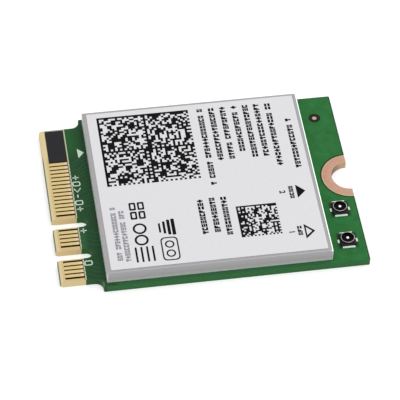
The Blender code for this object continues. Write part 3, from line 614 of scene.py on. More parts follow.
# Copper under a thin organic coat: pinkish, mottled, satin and pale at its rim, with painted shade darkening
# it deep in the half hole
COPPER = Finish("coated copper", "#d08f7d", "#bca78c", 0.45, COPPER_METAL, grain=0.5, relief=0.002,
                specular=0.3, zones=(
                    Zone("#c0a084", {"from_hole": WALL_LIMITS}, metallic=COPPER_METAL),
                    Zone("#6b5f57", {"from_hole": WALL_LIMITS, "along": (None, 14.0)}, 0.9, COPPER_METAL),
                    Zone("#c6b494", {"from_hole": (PAD_RADIUS - 0.105, None)}, 0.07, COPPER_METAL)))
# Tinned cold-rolled sheet: grey satin with a faint rolled grain along its length
TINNED = Finish("tinned steel sheet", "#a9a7a9", "#aeacae", 0.42, 0.4, grain=0.12, stretch=10.0,
                relief=0.0006, specular=0.3)
# The same sheet as pressed into the cover, with painted light: its upright walls painted lighter low down
# and on the side towards the contacts, and a painted highlight along the bend on the screw side and down the
# corner below it
PRESSED_WITH_PAINTED_LIGHT = Finish("pressed tinned sheet", "#a9a7a9", "#aeacae", 0.42, 0.4, grain=0.12, stretch=10.0,
                 relief=0.0006, specular=0.3, zones=(
                     Zone("#f6faf6", {"up": (None, 1.12), "level": (None, 0.12)}, 0.44, 0.1, LIGHT_BAND_ROUGHNESS),
                     Zone("#e0f4e3", {"level": (0.12, 0.995), "along": (11.2, None)}, 0.003, 1.0, LIGHT_BAND_ROUGHNESS),
                     Zone("#e4e9e4", {"along": (None, -10.45), "level": (None, 0.6)}, 0.04, 0.0, LIGHT_BAND_ROUGHNESS),
                     Zone("#dfe6df", {"along": (11.31, None), "across": (None, -10.5)}, 0.02, 0.3, LIGHT_BAND_ROUGHNESS)))
# Coated label film: cool off-white, matt, with very fine tooth
LABEL_FILM = Finish("matt label film", "#e8e7ea", "#ecebee", 0.62, grain=0.25, relief=0.0006, specular=0.2)
# Thermal transfer ink: dense warm black, a little shinier than the film
INK = Finish("thermal transfer ink", "#0f0b0c", "#130f10", 0.5, grain=0.15, specular=0.05)
# The same ink in thin strokes, which let the film show through as grey
FAINT_INK = Finish("thin transfer ink", "#94929a", "#a09ea5", 0.5, grain=0.15, specular=0.1)
# Screen-printed legend ink: chalky white with a green cast from the mask below
LEGEND = Finish("legend ink", "#d5e8d8", "#deefdf", 0.6, grain=0.2, specular=0.2)
# Black polyester film with a fine matt tooth
BLACK_FILM = Finish("black polyester film", "#262628", "#2c2b2e", 0.6, grain=0.3, relief=0.001,
                    specular=0.12)
# Heat-proof moulding of the sockets: near black with a brown cast
MOULDING = Finish("heat-proof moulding", "#241c20", "#2c2327", 0.5, grain=0.15, relief=0.001, specular=0.15)
# The socket's inner insulator: the same moulding, painted near black as the shade inside the ring
WELL_SHADE = Finish("polished insulator", "#060607", "#0a0a0c", 0.5, grain=0.15, specular=0.06)
# Nickel and tin plating, bright on the rim; the walls below it are painted near black as shade, and the tabs
# pale as solder in painted light
SOCKET_METAL = Finish("bright contact plating", "#b7a9ae", "#bfb1b6", 0.32, 1.0, grain=0.1, specular=0.15,
                      zones=(Zone("#0a0809", {"up": (None, 1.284)}, 0.008), SOLDERED_TAB_PAINTED_LIGHT))
# Flashed centre pin, matt enough to read as white from any side, and painted dark below its tip as the shade
# inside the socket
PIN_METAL = Finish("flashed centre pin", "#f6f4f0", "#faf8f4", 0.35, 1.0, grain=0.1, specular=0.15,
                   zones=(Zone("#3a3638", {"up": (None, 1.228)}, 0.008), SOLDERED_TAB_PAINTED_LIGHT))
# Moulded chip packages: black epoxy with a fine sandy tooth
EPOXY = Finish("moulded epoxy package", "#2c2c2e", "#343436", 0.55, grain=0.12, relief=0.002)
# Fired barium titanate body of small capacitors: tan, dense, semi-matt
TAN_CERAMIC = Finish("tan fired ceramic", "#a98d6c", "#b79a78", 0.5, grain=0.15, relief=0.001)
# Ferrite and dark glass bodies of beads, inductors and filters
DARK_CERAMIC = Finish("dark fired ceramic", "#3a3a40", "#45454b", 0.45, grain=0.15, relief=0.001)


# Trees of geometry nodes


class GrowthTree:
    """A tree of geometry nodes with named inputs, run once on a base mesh."""

    def __init__(self, title: str, sizes: dict[str, float | int]) -> None:
        """Starts the tree.

        Args:
            title: the tree's name.
            sizes: named inputs and the values that they start from.
        """
        self.tree = bpy.data.node_groups.new(title, "GeometryNodeTree")
        face = self.tree.interface
        face.new_socket("Geometry", in_out="INPUT", socket_type="NodeSocketGeometry")
        self.keys: dict[str, str] = {}
        for name, value in sizes.items():
            kind = "NodeSocketInt" if isinstance(value, int) else "NodeSocketFloat"
            socket = face.new_socket(name, in_out="INPUT", socket_type=kind)
            socket.default_value = value
            self.keys[name] = socket.identifier
        finish = face.new_socket("Finish", in_out="INPUT", socket_type="NodeSocketMaterial")
        self.keys["Finish"] = finish.identifier
        face.new_socket("Geometry", in_out="OUTPUT", socket_type="NodeSocketGeometry")
        self.inputs = add_node(self.tree, "NodeGroupInput").outputs

    def add(self, kind: str, inputs: Inputs | None = None, **settings: Any) -> Node:
        """Adds a node to the tree."""
        return add_node(self.tree, kind, inputs, **settings)

    def close(self, geometry: Source) -> "GrowthTree":
        """Ends the tree: real geometry in the given finish.

        Args:
            geometry: what the tree has grown.

        Returns:
            The tree.
        """
        real = self.add("GeometryNodeRealizeInstances", {0: geometry})
        painted = self.add("GeometryNodeSetMaterial", {0: real, "Material": self.inputs["Finish"]})
        self.add("NodeGroupOutput", {0: painted})
        return self

    def close_on_points(self, item: Source) -> "GrowthTree":
        """Sets an item on every point of the base and ends the tree."""
        points = self.inputs["Geometry"]
        return self.close(self.add("GeometryNodeInstanceOnPoints", {"Points": points, "Instance": item}))

    def solid(self, flat: Source, thickness: Source) -> Source:
        """Thickens flat faces upwards into closed plates.

        Args:
            flat: faces that look up.
            thickness: height of the plates.

        Returns:
            The closed plates.
        """
        raised = self.add("GeometryNodeExtrudeMesh", {
            "Mesh": flat, "Offset Scale": thickness, "Individual": False}, mode="FACES")
        floor = self.add("GeometryNodeFlipFaces", {0: flat})
        both = self.add("GeometryNodeJoinGeometry", {0: [raised, floor]})
        return self.add("GeometryNodeMergeByDistance", {0: both, "Distance": WELD})

    def grow(self, base: Mesh, finish: Finish, sizes: dict[str, float | int]) -> Mesh:
        """Runs the tree on a base mesh and returns the result as a plain mesh.

        Args:
            base: what the tree starts from.
            finish: the result's surface.
            sizes: values for the named inputs.

        Returns:
            A plain mesh in millimetres.
        """
        holder = new_object("holder", base)
        growth = holder.modifiers.new("Growth", "NODES")
        growth.node_group = self.tree
        for name, value in sizes.items():
            growth[self.keys[name]] = value
        growth[self.keys["Finish"]] = finish.material()
        return settled_mesh(holder)


def contact_tree() -> GrowthTree:
    """Grows a round-cornered contact plate on every point of its base.

    Returns:
        The tree.
    """
    growth = GrowthTree("contact plates", {"Length": 1.8, "Width": 0.35, "Height": 0.01, "Corner": 0.04})
    sizes = growth.inputs
    outline = growth.add("GeometryNodeCurvePrimitiveQuadrilateral", {
        "Width": sizes["Length"], "Height": sizes["Width"]})
    rounded = growth.add("GeometryNodeFilletCurve", {
        "Curve": outline, "Radius": sizes["Corner"], "Count": 4}, mode="POLY")
    face = growth.add("GeometryNodeFillCurve", {0: rounded}, mode="NGONS")
    return growth.close_on_points(growth.solid(face, sizes["Height"]))


def code_tree() -> GrowthTree:
    """Grows a square field of dark cells in blocks with solid and dotted borders, filled at random.

    Returns:
        The tree.
    """
    growth = GrowthTree("cell fields", {
        "Side": 9.0, "Cells": 40, "Block": 20, "Fill": 0.5, "Height": 0.006, "Seed": 1})
    sizes = growth.inputs
    corners = growth.add("ShaderNodeMath", {0: sizes["Cells"], 1: 1.0}, operation="ADD")
    grid = growth.add("GeometryNodeMeshGrid", {
        "Size X": sizes["Side"], "Size Y": sizes["Side"], "Vertices X": corners, "Vertices Y": corners})
    spot = growth.add("ShaderNodeSeparateXYZ", {0: growth.add("GeometryNodeInputPosition")}).outputs
    end = growth.add("ShaderNodeMath", {0: sizes["Block"], 1: 1.5}, operation="SUBTRACT")
    steps, first, last = [], [], []
    for value in spot[:2]:
        for operation, other in (("DIVIDE", sizes["Side"]), ("ADD", 0.5), ("MULTIPLY", sizes["Cells"]),
                                 ("FLOOR", 0.0), ("MODULO", sizes["Block"])):
            value = growth.add("ShaderNodeMath", {0: value, 1: other}, operation=operation)
        steps.append(value)
        first.append(growth.add("ShaderNodeMath", {0: value, 1: 0.5}, operation="LESS_THAN"))
        last.append(growth.add("ShaderNodeMath", {0: value, 1: end}, operation="GREATER_THAN"))
    solid = growth.add("ShaderNodeMath", {0: first[0], 1: last[1]}, operation="MAXIMUM")
    edge = growth.add("ShaderNodeMath", {0: last[0], 1: first[1]}, operation="MAXIMUM")
    dotted = steps[0]
    for operation, other in (("ADD", steps[1]), ("MODULO", 2.0), ("GREATER_THAN", 0.5)):
        dotted = growth.add("ShaderNodeMath", {0: dotted, 1: other}, operation=operation)
    chance = growth.add("FunctionNodeRandomValue", {
        "Probability": sizes["Fill"], "Seed": sizes["Seed"]}, data_type="BOOLEAN").outputs[3]
    chosen = growth.add("GeometryNodeSwitch", {0: edge, 1: chance, 2: dotted}, input_type="BOOLEAN")
    kept = growth.add("FunctionNodeBooleanMath", {0: solid, 1: chosen}, operation="OR")
    dropped = growth.add("FunctionNodeBooleanMath", {0: kept}, operation="NOT")
    cells = growth.add("GeometryNodeDeleteGeometry", {0: grid, 1: dropped}, domain="FACE")
    return growth.close_on_points(growth.solid(cells, sizes["Height"]))


# Marks that stand for printed characters, as bars in shares of their box: left, low, right, high.
# They are stacks, bricks, steps and crosses, and none of them is a letter or a numeral.
MARKS: tuple[tuple[tuple[float, float, float, float], ...], ...] = (
    ((0.0, 0.71, 0.86, 1.0), (0.0, 0.36, 0.86, 0.64), (0.0, 0.0, 0.86, 0.29)),
    ((0.0, 0.54, 0.39, 1.0), (0.47, 0.54, 0.86, 1.0), (0.0, 0.0, 0.39, 0.46), (0.47, 0.0, 0.86, 0.46)),
    ((0.0, 0.59, 0.86, 1.0), (0.0, 0.0, 0.86, 0.41)),
    ((0.50, 0.0, 0.86, 1.0), (0.0, 0.68, 0.50, 1.0), (0.0, 0.0, 0.50, 0.32)),
    ((0.0, 0.0, 0.86, 0.38), (0.24, 0.38, 0.86, 0.70), (0.50, 0.70, 0.86, 1.0)),
    ((0.0, 0.0, 0.86, 0.44), (0.24, 0.44, 0.62, 1.0)),
    ((0.0, 0.54, 0.50, 1.0), (0.58, 0.54, 0.86, 1.0), (0.0, 0.0, 0.28, 0.46), (0.36, 0.0, 0.86, 0.46)),
    ((0.25, 0.0, 0.61, 1.0), (0.0, 0.30, 0.25, 0.70), (0.61, 0.30, 0.86, 0.70)),
)


def row_tree() -> GrowthTree:
    """Grows a row of small bar marks along X from every point of its base.

    Returns:
        The tree.
    """
    growth = GrowthTree("rows of marks", {
        "Length": 9.0, "Pitch": 0.44, "Tall": 0.57, "Height": 0.006, "Gap Share": 0.08, "Seed": 1})
    sizes = growth.inputs
    box = growth.add("ShaderNodeCombineXYZ", {
        0: sizes["Pitch"], 1: sizes["Tall"], 2: sizes["Height"]})
    choices = []
    for bars in MARKS:
        cubes = []
        for left, low, right, high in bars:
            spread = growth.add("ShaderNodeVectorMath", {
                0: box, 1: (right - left, high - low, 1.0)}, operation="MULTIPLY")
            middle = growth.add("ShaderNodeVectorMath", {
                0: box, 1: ((left + right) / 2, (low + high) / 2 - 0.5, 0.0)}, operation="MULTIPLY")
            cube = growth.add("GeometryNodeMeshCube", {"Size": spread})
            cubes.append(growth.add("GeometryNodeTransform", {0: cube, "Translation": middle}))
        mark = growth.add("GeometryNodeJoinGeometry", {0: cubes})
        choices.append(growth.add("GeometryNodeGeometryToInstance", {0: mark}))
    palette = growth.add("GeometryNodeJoinGeometry", {0: choices[::-1]})
    count = growth.add("ShaderNodeMath", {0: sizes["Length"], 1: sizes["Pitch"]}, operation="DIVIDE")
    step = growth.add("ShaderNodeCombineXYZ", {0: sizes["Pitch"]})
    line = growth.add("GeometryNodeMeshLine", {"Count": count, "Offset": step})
    gaps = growth.add("FunctionNodeRandomValue", {
        "Probability": sizes["Gap Share"], "Seed": sizes["Seed"]}, data_type="BOOLEAN").outputs[3]
    spots = growth.add("GeometryNodeDeleteGeometry", {0: line, 1: gaps}, domain="POINT")
    second_seed = growth.add("ShaderNodeMath", {0: sizes["Seed"], 1: 100.0}, operation="ADD")
    pick = growth.add("FunctionNodeRandomValue", {
        4: 0, 5: len(MARKS) - 1, "Seed": second_seed}, data_type="INT").outputs[2]
    marks = growth.add("GeometryNodeInstanceOnPoints", {
        "Points": spots, "Instance": palette, "Pick Instance": True, "Instance Index": pick})
    return growth.close_on_points(growth.add("GeometryNodeRealizeInstances", {0: marks}))


def ribbon_tree() -> GrowthTree:
    """Grows a flat ribbon along every line of its base, with rounded bends.

    Returns:
        The tree.
    """
    growth = GrowthTree("ribbons", {"Width": 0.1, "Height": 0.008, "Bend": 0.3})
    sizes = growth.inputs
    path = growth.add("GeometryNodeMeshToCurve", {0: sizes["Geometry"]})
    bent = growth.add("GeometryNodeFilletCurve", {
        "Curve": path, "Radius": sizes["Bend"], "Limit Radius": True, "Count": 6}, mode="POLY")
    level = growth.add("GeometryNodeSetCurveNormal", {0: bent}, mode="Z_UP")
    section = growth.add("GeometryNodeCurvePrimitiveQuadrilateral", {
        "Width": sizes["Width"], "Height": sizes["Height"]})
    ribbon = growth.add("GeometryNodeCurveToMesh", {
        "Curve": level, "Profile Curve": section, "Fill Caps": True})
    return growth.close(ribbon)


def add_ribbons(name: str, paths: Iterable[Sequence[Point]], finish: Finish, width: float, height: float,
                bend: float = 0.0) -> None:
    """Lays ribbons on the board's component side, as one piece.

    Args:
        name: the piece's name.
        paths: one path for each ribbon; one that ends where it starts becomes a loop.
        finish: the ribbons' surface.
        width: their width.
        height: their height.
        bend: radius of their bends.
    """
    points: list[Point] = []
    lines: list[tuple[int, int]] = []
    for path in paths:
        closed = path[0] == path[-1]
        first = len(points)
        points += path[:-1] if closed else path
        last = len(points) - 1
        lines += [(i, i + 1) for i in range(first, last)]
        lines += [(last, first)] if closed else []
    base = points_mesh([(x, y, CARD.high.z + height / 2) for x, y in points], lines)
    mesh = ribbon_tree().grow(base, finish, {"Width": width, "Height": height, "Bend": bend})
    add_piece(name, mesh, finish)


# Signs of the legend as strokes in shares of their box, across and up. None of them is a letter.
SIGN_PATHS: dict[str, tuple[tuple[Point, ...], ...]] = {
    "box": (((0.05, 0.0), (0.95, 0.0), (0.95, 1.0), (0.05, 1.0), (0.05, 0.0)),),
    "dash": (((0.1, 0.45), (0.8, 0.45)),),
    "arrowhead": (((0.1, 1.0), (0.95, 0.5), (0.1, 0.0)),),
    "plus": (((0.5, 0.05), (0.5, 0.95)), ((0.0, 0.5), (1.0, 0.5))),
}


# Sub-assemblies


class Face(Enum):
    """The two faces of the board that carry contacts."""

    TOP = "top"
    UNDERSIDE = "underside"


@dataclass
class ContactTongue:
    """The keyed tongue: contact plates on both faces, the black film and the tracks behind."""

    pitch: float = CONTACT_SPACING / 2
    count: int = 75
    keys: tuple[tuple[int, int], ...] = ((8, 15), (24, 31))
    covered_from: int = 61
    width: float = 0.34
    length: float = 1.80
    corner: float = 0.03
    plate_height: float = 0.012
    field_level: float = 0.78
    track_width: float = 0.09
    track_height: float = 0.006
    track_bend: float = 0.35
    track_gap: float = 0.12
    track_overlap: float = 0.05
    first_turn: float = 0.35
    turn_step: float = 0.06
    turns: int = 8
    turn_length: float = 0.7
    turn_share: float = 0.7
    lean: float = 0.85
    near_lean: float = -0.6
    key_root: float = -12.1
    key_half: float = 0.60
    halo_gap: float = 0.16
    halo_width: float = 0.05
    halo_steps: int = 16
    film: Span = span_field("contact_film")
    cover: Span = span_field("shield_cover")

    def across(self, position: float) -> float:
        """Distance of a contact position from the card's centre line."""
        return (position - (self.count + 1) / 2) * self.pitch

    def positions(self, face: Face) -> list[int]:
        """Positions that carry a contact on one face, without the keys and what the film covers."""
        counted = range(1, self.covered_from, 2) if face is Face.TOP else range(2, self.count + 1, 2)
        return [n for n in counted if not any(low <= n <= high for low, high in self.keys)]

    def build_contacts(self) -> None:
        """Lays the gilded plates on both faces."""
        growth, height = contact_tree(), self.plate_height
        for face in Face:
            low = self.field_level if face is Face.TOP else CARD.high.z - self.field_level - height
            spots = [(self.film.centre.x, self.across(n), low) for n in self.positions(face)]
            mesh = growth.grow(points_mesh(spots), GOLD, {
                "Length": self.length, "Width": self.width, "Height": height, "Corner": self.corner})
            add_piece(f"contacts_{face.value}", mesh, GOLD)

    def build_tracks(self) -> None:
        """Runs a covered track from every top contact to the can, fanned out like a hand."""
        start, end = self.film.high.x + self.track_gap, self.cover.low.x + self.track_overlap
        paths = []
        for position in self.positions(Face.TOP):
            across = self.across(position)
            lean = self.lean * (1.0 if position > self.keys[1][1] else self.near_lean)
            turn = start + self.first_turn + self.turn_step * (position % self.turns)
            paths.append([(start, across), (turn, across),
                          (turn + self.turn_length, across + lean * self.turn_share), (end, across + lean)])
        add_ribbons("covered_tracks", paths, TRACK_AND_EDGE_HIGHLIGHT, self.track_width, self.track_height,
                    self.track_bend)

    def build_key_highlights(self) -> None:
        """Draws a painted highlight: a lighter green line round the end of each key notch, standing for the
        light on its edge.
        """
        start, radius = self.film.high.x + self.track_gap, self.key_half + self.halo_gap
        paths = []
        for low, high in self.keys:
            root, middle = self.key_root, self.across((low + high) / 2)
            angles = [math.pi * (0.5 - step / self.halo_steps) for step in range(self.halo_steps + 1)]
            bend = [(root + radius * math.cos(a), middle + radius * math.sin(a)) for a in angles]
            paths.append([(start, middle + radius), *bend, (start, middle - radius)])
        add_ribbons("key_halos", paths, TRACK_AND_EDGE_HIGHLIGHT, self.halo_width, self.track_height)

    def build(self) -> None:
        """Builds and dresses the tongue."""
        self.build_contacts()
        self.build_tracks()
        self.build_key_highlights()
        dress_node("contact_film", BLACK_FILM)


@dataclass
class CardBoard:
    """The board with its screw pad and its white legend."""

    copper: float = 0.04
    barrel: float = 0.05
    edge: float = 0.015
    pad_steps: int = 72
    legend_height: float = 0.014
    legend_stroke: float = 0.11
    legend_bends: dict[str, float] = field(default_factory=lambda: {"box": 0.14})
    legend_foot: float = -12.36
    legend_tall: float = 0.68
    legend_wide: float = 0.56
    legend_pitch: float = 0.83
    legend_start: float = 3.50
    legend_row: tuple[str, ...] = ("plus", "box", "arrowhead", "dash", "box", "plus")
    key_marks: tuple[tuple[str, float], ...] = (("plus", -3.48), ("box", -7.60))
    arrow: tuple[Point, ...] = ((-11.45, 7.06), (-11.42, 5.80), (-10.80, 6.48))

    def build_screw_pad(self) -> None:
        """Turns the plated half ring round the edge of the screw hole."""
        end, top, floor = CARD.high.x, CARD.high.z, CARD.low.z
        inner, outer, wall = HOLE_RADIUS, PAD_RADIUS, HOLE_RADIUS + self.barrel
        section = soften([
            (outer, top), (outer, top - self.copper), (wall, top - self.copper),
            (wall, floor + self.copper), (outer, floor + self.copper), (outer, floor), (inner, floor),
            (inner, top)], self.edge)
        angles = [math.pi * (0.5 + step / self.pad_steps) for step in range(self.pad_steps + 1)]
        bm = bmesh.new()
        loft(bm, [[Vector((end + r * math.cos(a), r * math.sin(a), z)) for r, z in section]
                  for a in angles])
        add_piece("screw_pad_ring", mesh_of(bm, "screw_pad_ring"), COPPER, ["screw_pad"])

    def build_legend(self) -> None:
        """Prints the arrow and the plain marks behind the contacts."""
        bm = bmesh.new()
        plate(bm, self.arrow, CARD.high.z, CARD.high.z + self.legend_height)
        add_piece("legend_arrow", mesh_of(bm, "legend_arrow"), LEGEND)
        row = [(name, self.legend_start - self.legend_pitch * i) for i, name in enumerate(self.legend_row)]
        groups: dict[float, list[list[Point]]] = {}
        for sign, start in (*row, *self.key_marks):
            groups.setdefault(self.legend_bends.get(sign, 0.0), []).extend(
                [(self.legend_foot + self.legend_tall * high, start - self.legend_wide * wide)
                 for wide, high in path] for path in SIGN_PATHS[sign])
        for bend, paths in sorted(groups.items()):
            name = "legend_round_marks" if bend else "legend_straight_marks"
            add_ribbons(name, paths, LEGEND, self.legend_stroke, self.legend_height, bend)

    def build(self) -> None:
        """Builds and dresses the board."""
        dress_node("circuit_board", BOARD)
        self.build_screw_pad()
        self.build_legend()


@dataclass
class ShieldCan:
    """The pressed cover over its soldered frame."""

    cover: Span = span_field("shield_cover")
    sheet: float = 0.12
    corner: float = 0.11
    least_corner: float = 0.01
    edge: float = 0.12
    edge_steps: int = 6
    guard: float = 0.05

    def build_cover(self) -> None:
        """Presses the cover from one sheet, with a round edge all along its top."""
        top, foot = self.cover.high.z, self.cover.low.z
        profile = [(self.guard + self.edge, top)]
        for step in range(self.edge_steps + 1):
            angle = math.pi / 2 * step / self.edge_steps
            profile.append((self.edge * (1 - math.sin(angle)), top - self.edge * (1 - math.cos(angle))))
        profile += [(0.0, foot), (self.sheet, foot), (self.sheet, top - self.sheet - self.guard),
                    (self.sheet + self.guard, top - self.sheet)]
        bm = bmesh.new()
        loft(bm, [self.cover.ring(inset, max(self.corner - inset, self.least_corner), height)
                  for inset, height in profile])
        add_piece("can_cover", mesh_of(bm, "can_cover"), PRESSED_WITH_PAINTED_LIGHT, ["shield_cover"])

    def build(self) -> None:
        """Builds and dresses the can."""
        self.build_cover()
        dress_node("shield_frame", TINNED)


@dataclass(frozen=True)
class CellCode:
    """A square field of random cells, in square blocks of cells."""

    name: str
    centre: Point
    side: float
    cells: int
    block: int
    seed: int
    fill: float = 0.58


@dataclass(frozen=True)
class MarkRows:
    """Rows of marks of one size. Each runs at its place along the card, from start to end across it."""

    name: str
    finish: Finish
    tall: float
    pitch: float
    gap_share: float
    rows: tuple[tuple[float, float, float], ...]
    first_seed: int = 31


@dataclass
class PrintedLabel:
    """The label with its cell codes, rows of marks and plain signs."""

    label: Span = span_field("label")
    corner: float = 0.12
    film_drop: float = 0.007
    ink_height: float = 0.006
    edge: float = 0.012
    flat_inset: float = 0.06
    codes: tuple[CellCode, ...] = (
        CellCode("label_code_large", (-4.52, 4.965), 9.3, 40, 20, 12),
        CellCode("label_code_small", (4.885, -5.85), 3.98, 22, 22, 9),
    )
    mark_rows: tuple[MarkRows, ...] = (
        MarkRows("label_rows_bold", INK, 0.57, 0.45, 0.04, (
            (1.28, 9.54, -0.90), (2.45, 9.53, 2.00), (3.60, 9.58, 2.17), (4.77, 9.56, 3.26),
            (5.92, 9.54, 2.33), (7.05, 9.53, 2.12), (8.20, 9.46, 0.86), (9.95, 7.13, 0.0),
            (-0.47, -2.51, -7.22), (0.72, -2.42, -7.02), (1.85, -2.44, -7.83))),
        MarkRows("label_rows_faint", FAINT_INK, 0.52, 0.36, 0.06, (
            (-9.07, -2.43, -9.47), (-8.29, -2.97, -9.46))),
        MarkRows("label_rows_words", INK, 0.44, 0.41, 0.0, ((8.63, -1.91, -3.62), (8.60, -7.12, -8.52))),
    )
    filled_arrow: tuple[Point, ...] = ((9.14, -1.79), (9.15, -3.51), (10.03, -2.67))
    open_arrow: tuple[Point, ...] = ((9.06, -6.93), (9.06, -8.80), (10.06, -7.90))
    open_share: float = 0.56
    # Squares with a hole, by their rows and columns, half sizes and corner softness
    square_columns: Point = (-7.10, -6.28)
    square_rows: Point = (-2.55, -3.72)
    square: tuple[Point, float] = ((0.33, 0.5), 0.14)
    square_hole: tuple[Point, float] = ((0.1518, 0.29), 0.05)
    # Rings by their middle, two radii and steps
    rings: tuple[tuple[Point, float, float, int], ...] = (
        ((-6.74, -5.45), 0.68, 0.47, 48), ((-6.74, -6.90), 0.68, 0.47, 48),
        ((-4.14, -7.75), 0.46, 0.31, 32), ((-4.14, -8.90), 0.46, 0.31, 32))
    # Even stripes by the first one's middle, their half sizes, spacing and number
    stripes: tuple[Point, Point, float, int] = ((-7.455, -8.70), (0.095, 0.95), 0.55, 4)
    stripe_softness: float = 0.06
    # Shrinking stripes: each one's half length, its start along the card and its width
    shrinking: tuple[tuple[float, float, float], ...] = (
        (1.02, -3.66, 0.34), (0.95, -4.08, 0.29), (0.78, -4.50, 0.24), (0.60, -4.92, 0.19))
    shrinking_middle: float = -5.6
    shrinking_softness: float = 0.08
    # The frame round two rings: its middle, and half sizes and corner softness outside and inside
    frame_middle: Point = (-4.14, -8.315)
    frame_sides: tuple[tuple[Point, float], ...] = (((0.84, 1.465), 0.5), ((0.71, 1.335), 0.42))
    frame_steps: int = 6
    numerals: tuple[tuple[str, Point], ...] = (("2", (7.72, -2.58)), ("1", (7.77, -7.80)))
    numeral_size: float = 0.80
    numeral_swell: float = 0.02

    @property
    def paper(self) -> float:
        """Height of the label's printed face."""
        return self.label.high.z - self.film_drop

    def placing(self, spot: Point) -> Matrix:
        """Turns print to read from the screw side, and sets it on the label."""
        place = Matrix.Translation((*spot, self.paper + self.ink_height / 2))
        return place @ Matrix.Rotation(-math.pi / 2, 4, "Z")

    def build_film(self) -> None:
        """Cuts the label with round corners and a soft upper edge."""
        low, top = self.label.low.z, self.paper
        steps = [(0.0, low), (0.0, top - self.edge), (self.edge / 3, top - self.edge / 3), (self.edge, top),
                 (self.flat_inset, top)]
        bm = bmesh.new()
        loft(bm, [self.label.ring(inset, self.corner - inset, height) for inset, height in steps])
        add_piece("label_film", mesh_of(bm, "label_film"), LABEL_FILM, ["label"])

    def build_codes(self) -> None:
        """Prints the two square fields of random cells."""
        growth = code_tree()
        for code in self.codes:
            mesh = growth.grow(points_mesh([(*code.centre, self.paper)]), INK, {
                "Side": code.side, "Cells": code.cells, "Block": code.block, "Fill": code.fill,
                "Height": self.ink_height, "Seed": code.seed})
            add_piece(code.name, mesh, INK)

    def build_rows(self) -> None:
        """Prints the rows of bar marks that stand in for text."""
        growth = row_tree()
        for kind in self.mark_rows:
            joined = bmesh.new()
            for index, (along, start, end) in enumerate(kind.rows):
                mesh = growth.grow(points_mesh([(0.0, 0.0, 0.0)]), kind.finish, {
                    "Length": start - end, "Pitch": kind.pitch, "Tall": kind.tall,
                    "Height": self.ink_height, "Gap Share": kind.gap_share,
                    "Seed": kind.first_seed + index})
                mesh.transform(self.placing((along, start)))
                joined.from_mesh(mesh)
            add_piece(kind.name, mesh_of(joined, kind.name), kind.finish)

    def build_arrows(self) -> None:
        """Prints the filled and the open arrow that point to the sockets."""
        low, high = self.paper, self.paper + self.ink_height
        bm = bmesh.new()
        plate(bm, self.filled_arrow, low, high)
        centre = sum((Vector(point) for point in self.open_arrow), Vector((0.0, 0.0))) / 3
        inner = [tuple(centre + (Vector(point) - centre) * self.open_share) for point in self.open_arrow]
        band(bm, self.open_arrow, inner, low, high)
        add_piece("label_arrows", mesh_of(bm, "label_arrows"), INK)

    def build_signs(self) -> None:
        """Prints plain shapes: a block of squares, stripes, and rings of which two are framed."""
        low, high = self.paper, self.paper + self.ink_height
        bm = bmesh.new()
        for middle in ((x, y) for x in self.square_columns for y in self.square_rows):
            sides = [soften(oblong(middle, reach), soft) for reach, soft in (self.square, self.square_hole)]
            band(bm, *sides, low, high)
        for middle, outside, inside, steps in self.rings:
            sides = [[p.xy for p in circle(middle, radius, low, steps)] for radius in (outside, inside)]
            band(bm, *sides, low, high)
        (along, across), reach, spacing, count = self.stripes
        for index in range(count):
            stripe = oblong((along + spacing * index, across), reach)
            plate(bm, soften(stripe, self.stripe_softness), low, high)
        for reach, start, width in self.shrinking:
            stripe = oblong((start + width / 2, self.shrinking_middle), (width / 2, reach))
            plate(bm, soften(stripe, self.shrinking_softness), low, high)
        sides = [soften(oblong(self.frame_middle, reach), soft, self.frame_steps)
                 for reach, soft in self.frame_sides]
        band(bm, *sides, low, high)
        add_piece("label_signs", mesh_of(bm, "label_signs"), INK)

    def build_numerals(self) -> None:
        """Prints the two plain numerals beside the arrows."""
        bm = bmesh.new()
        for text, spot in self.numerals:
            curve = bpy.data.curves.new("numeral", "FONT")
            curve.body = text
            curve.size = self.numeral_size
            curve.offset = self.numeral_swell
            curve.align_x = "CENTER"
            curve.align_y = "CENTER"
            curve.extrude = self.ink_height / 2
            mesh = settled_mesh(new_object("numeral", curve))
            mesh.transform(self.placing(spot))
            bm.from_mesh(mesh)
        bmesh.ops.remove_doubles(bm, verts=bm.verts, dist=WELD)
        add_piece("label_numerals", mesh_of(bm, "label_numerals"), INK)

    def build(self) -> None:
        """Builds the label and all its print."""
        self.build_film()
        self.build_codes()
        self.build_rows()
        self.build_arrows()
        self.build_signs()
        self.build_numerals()


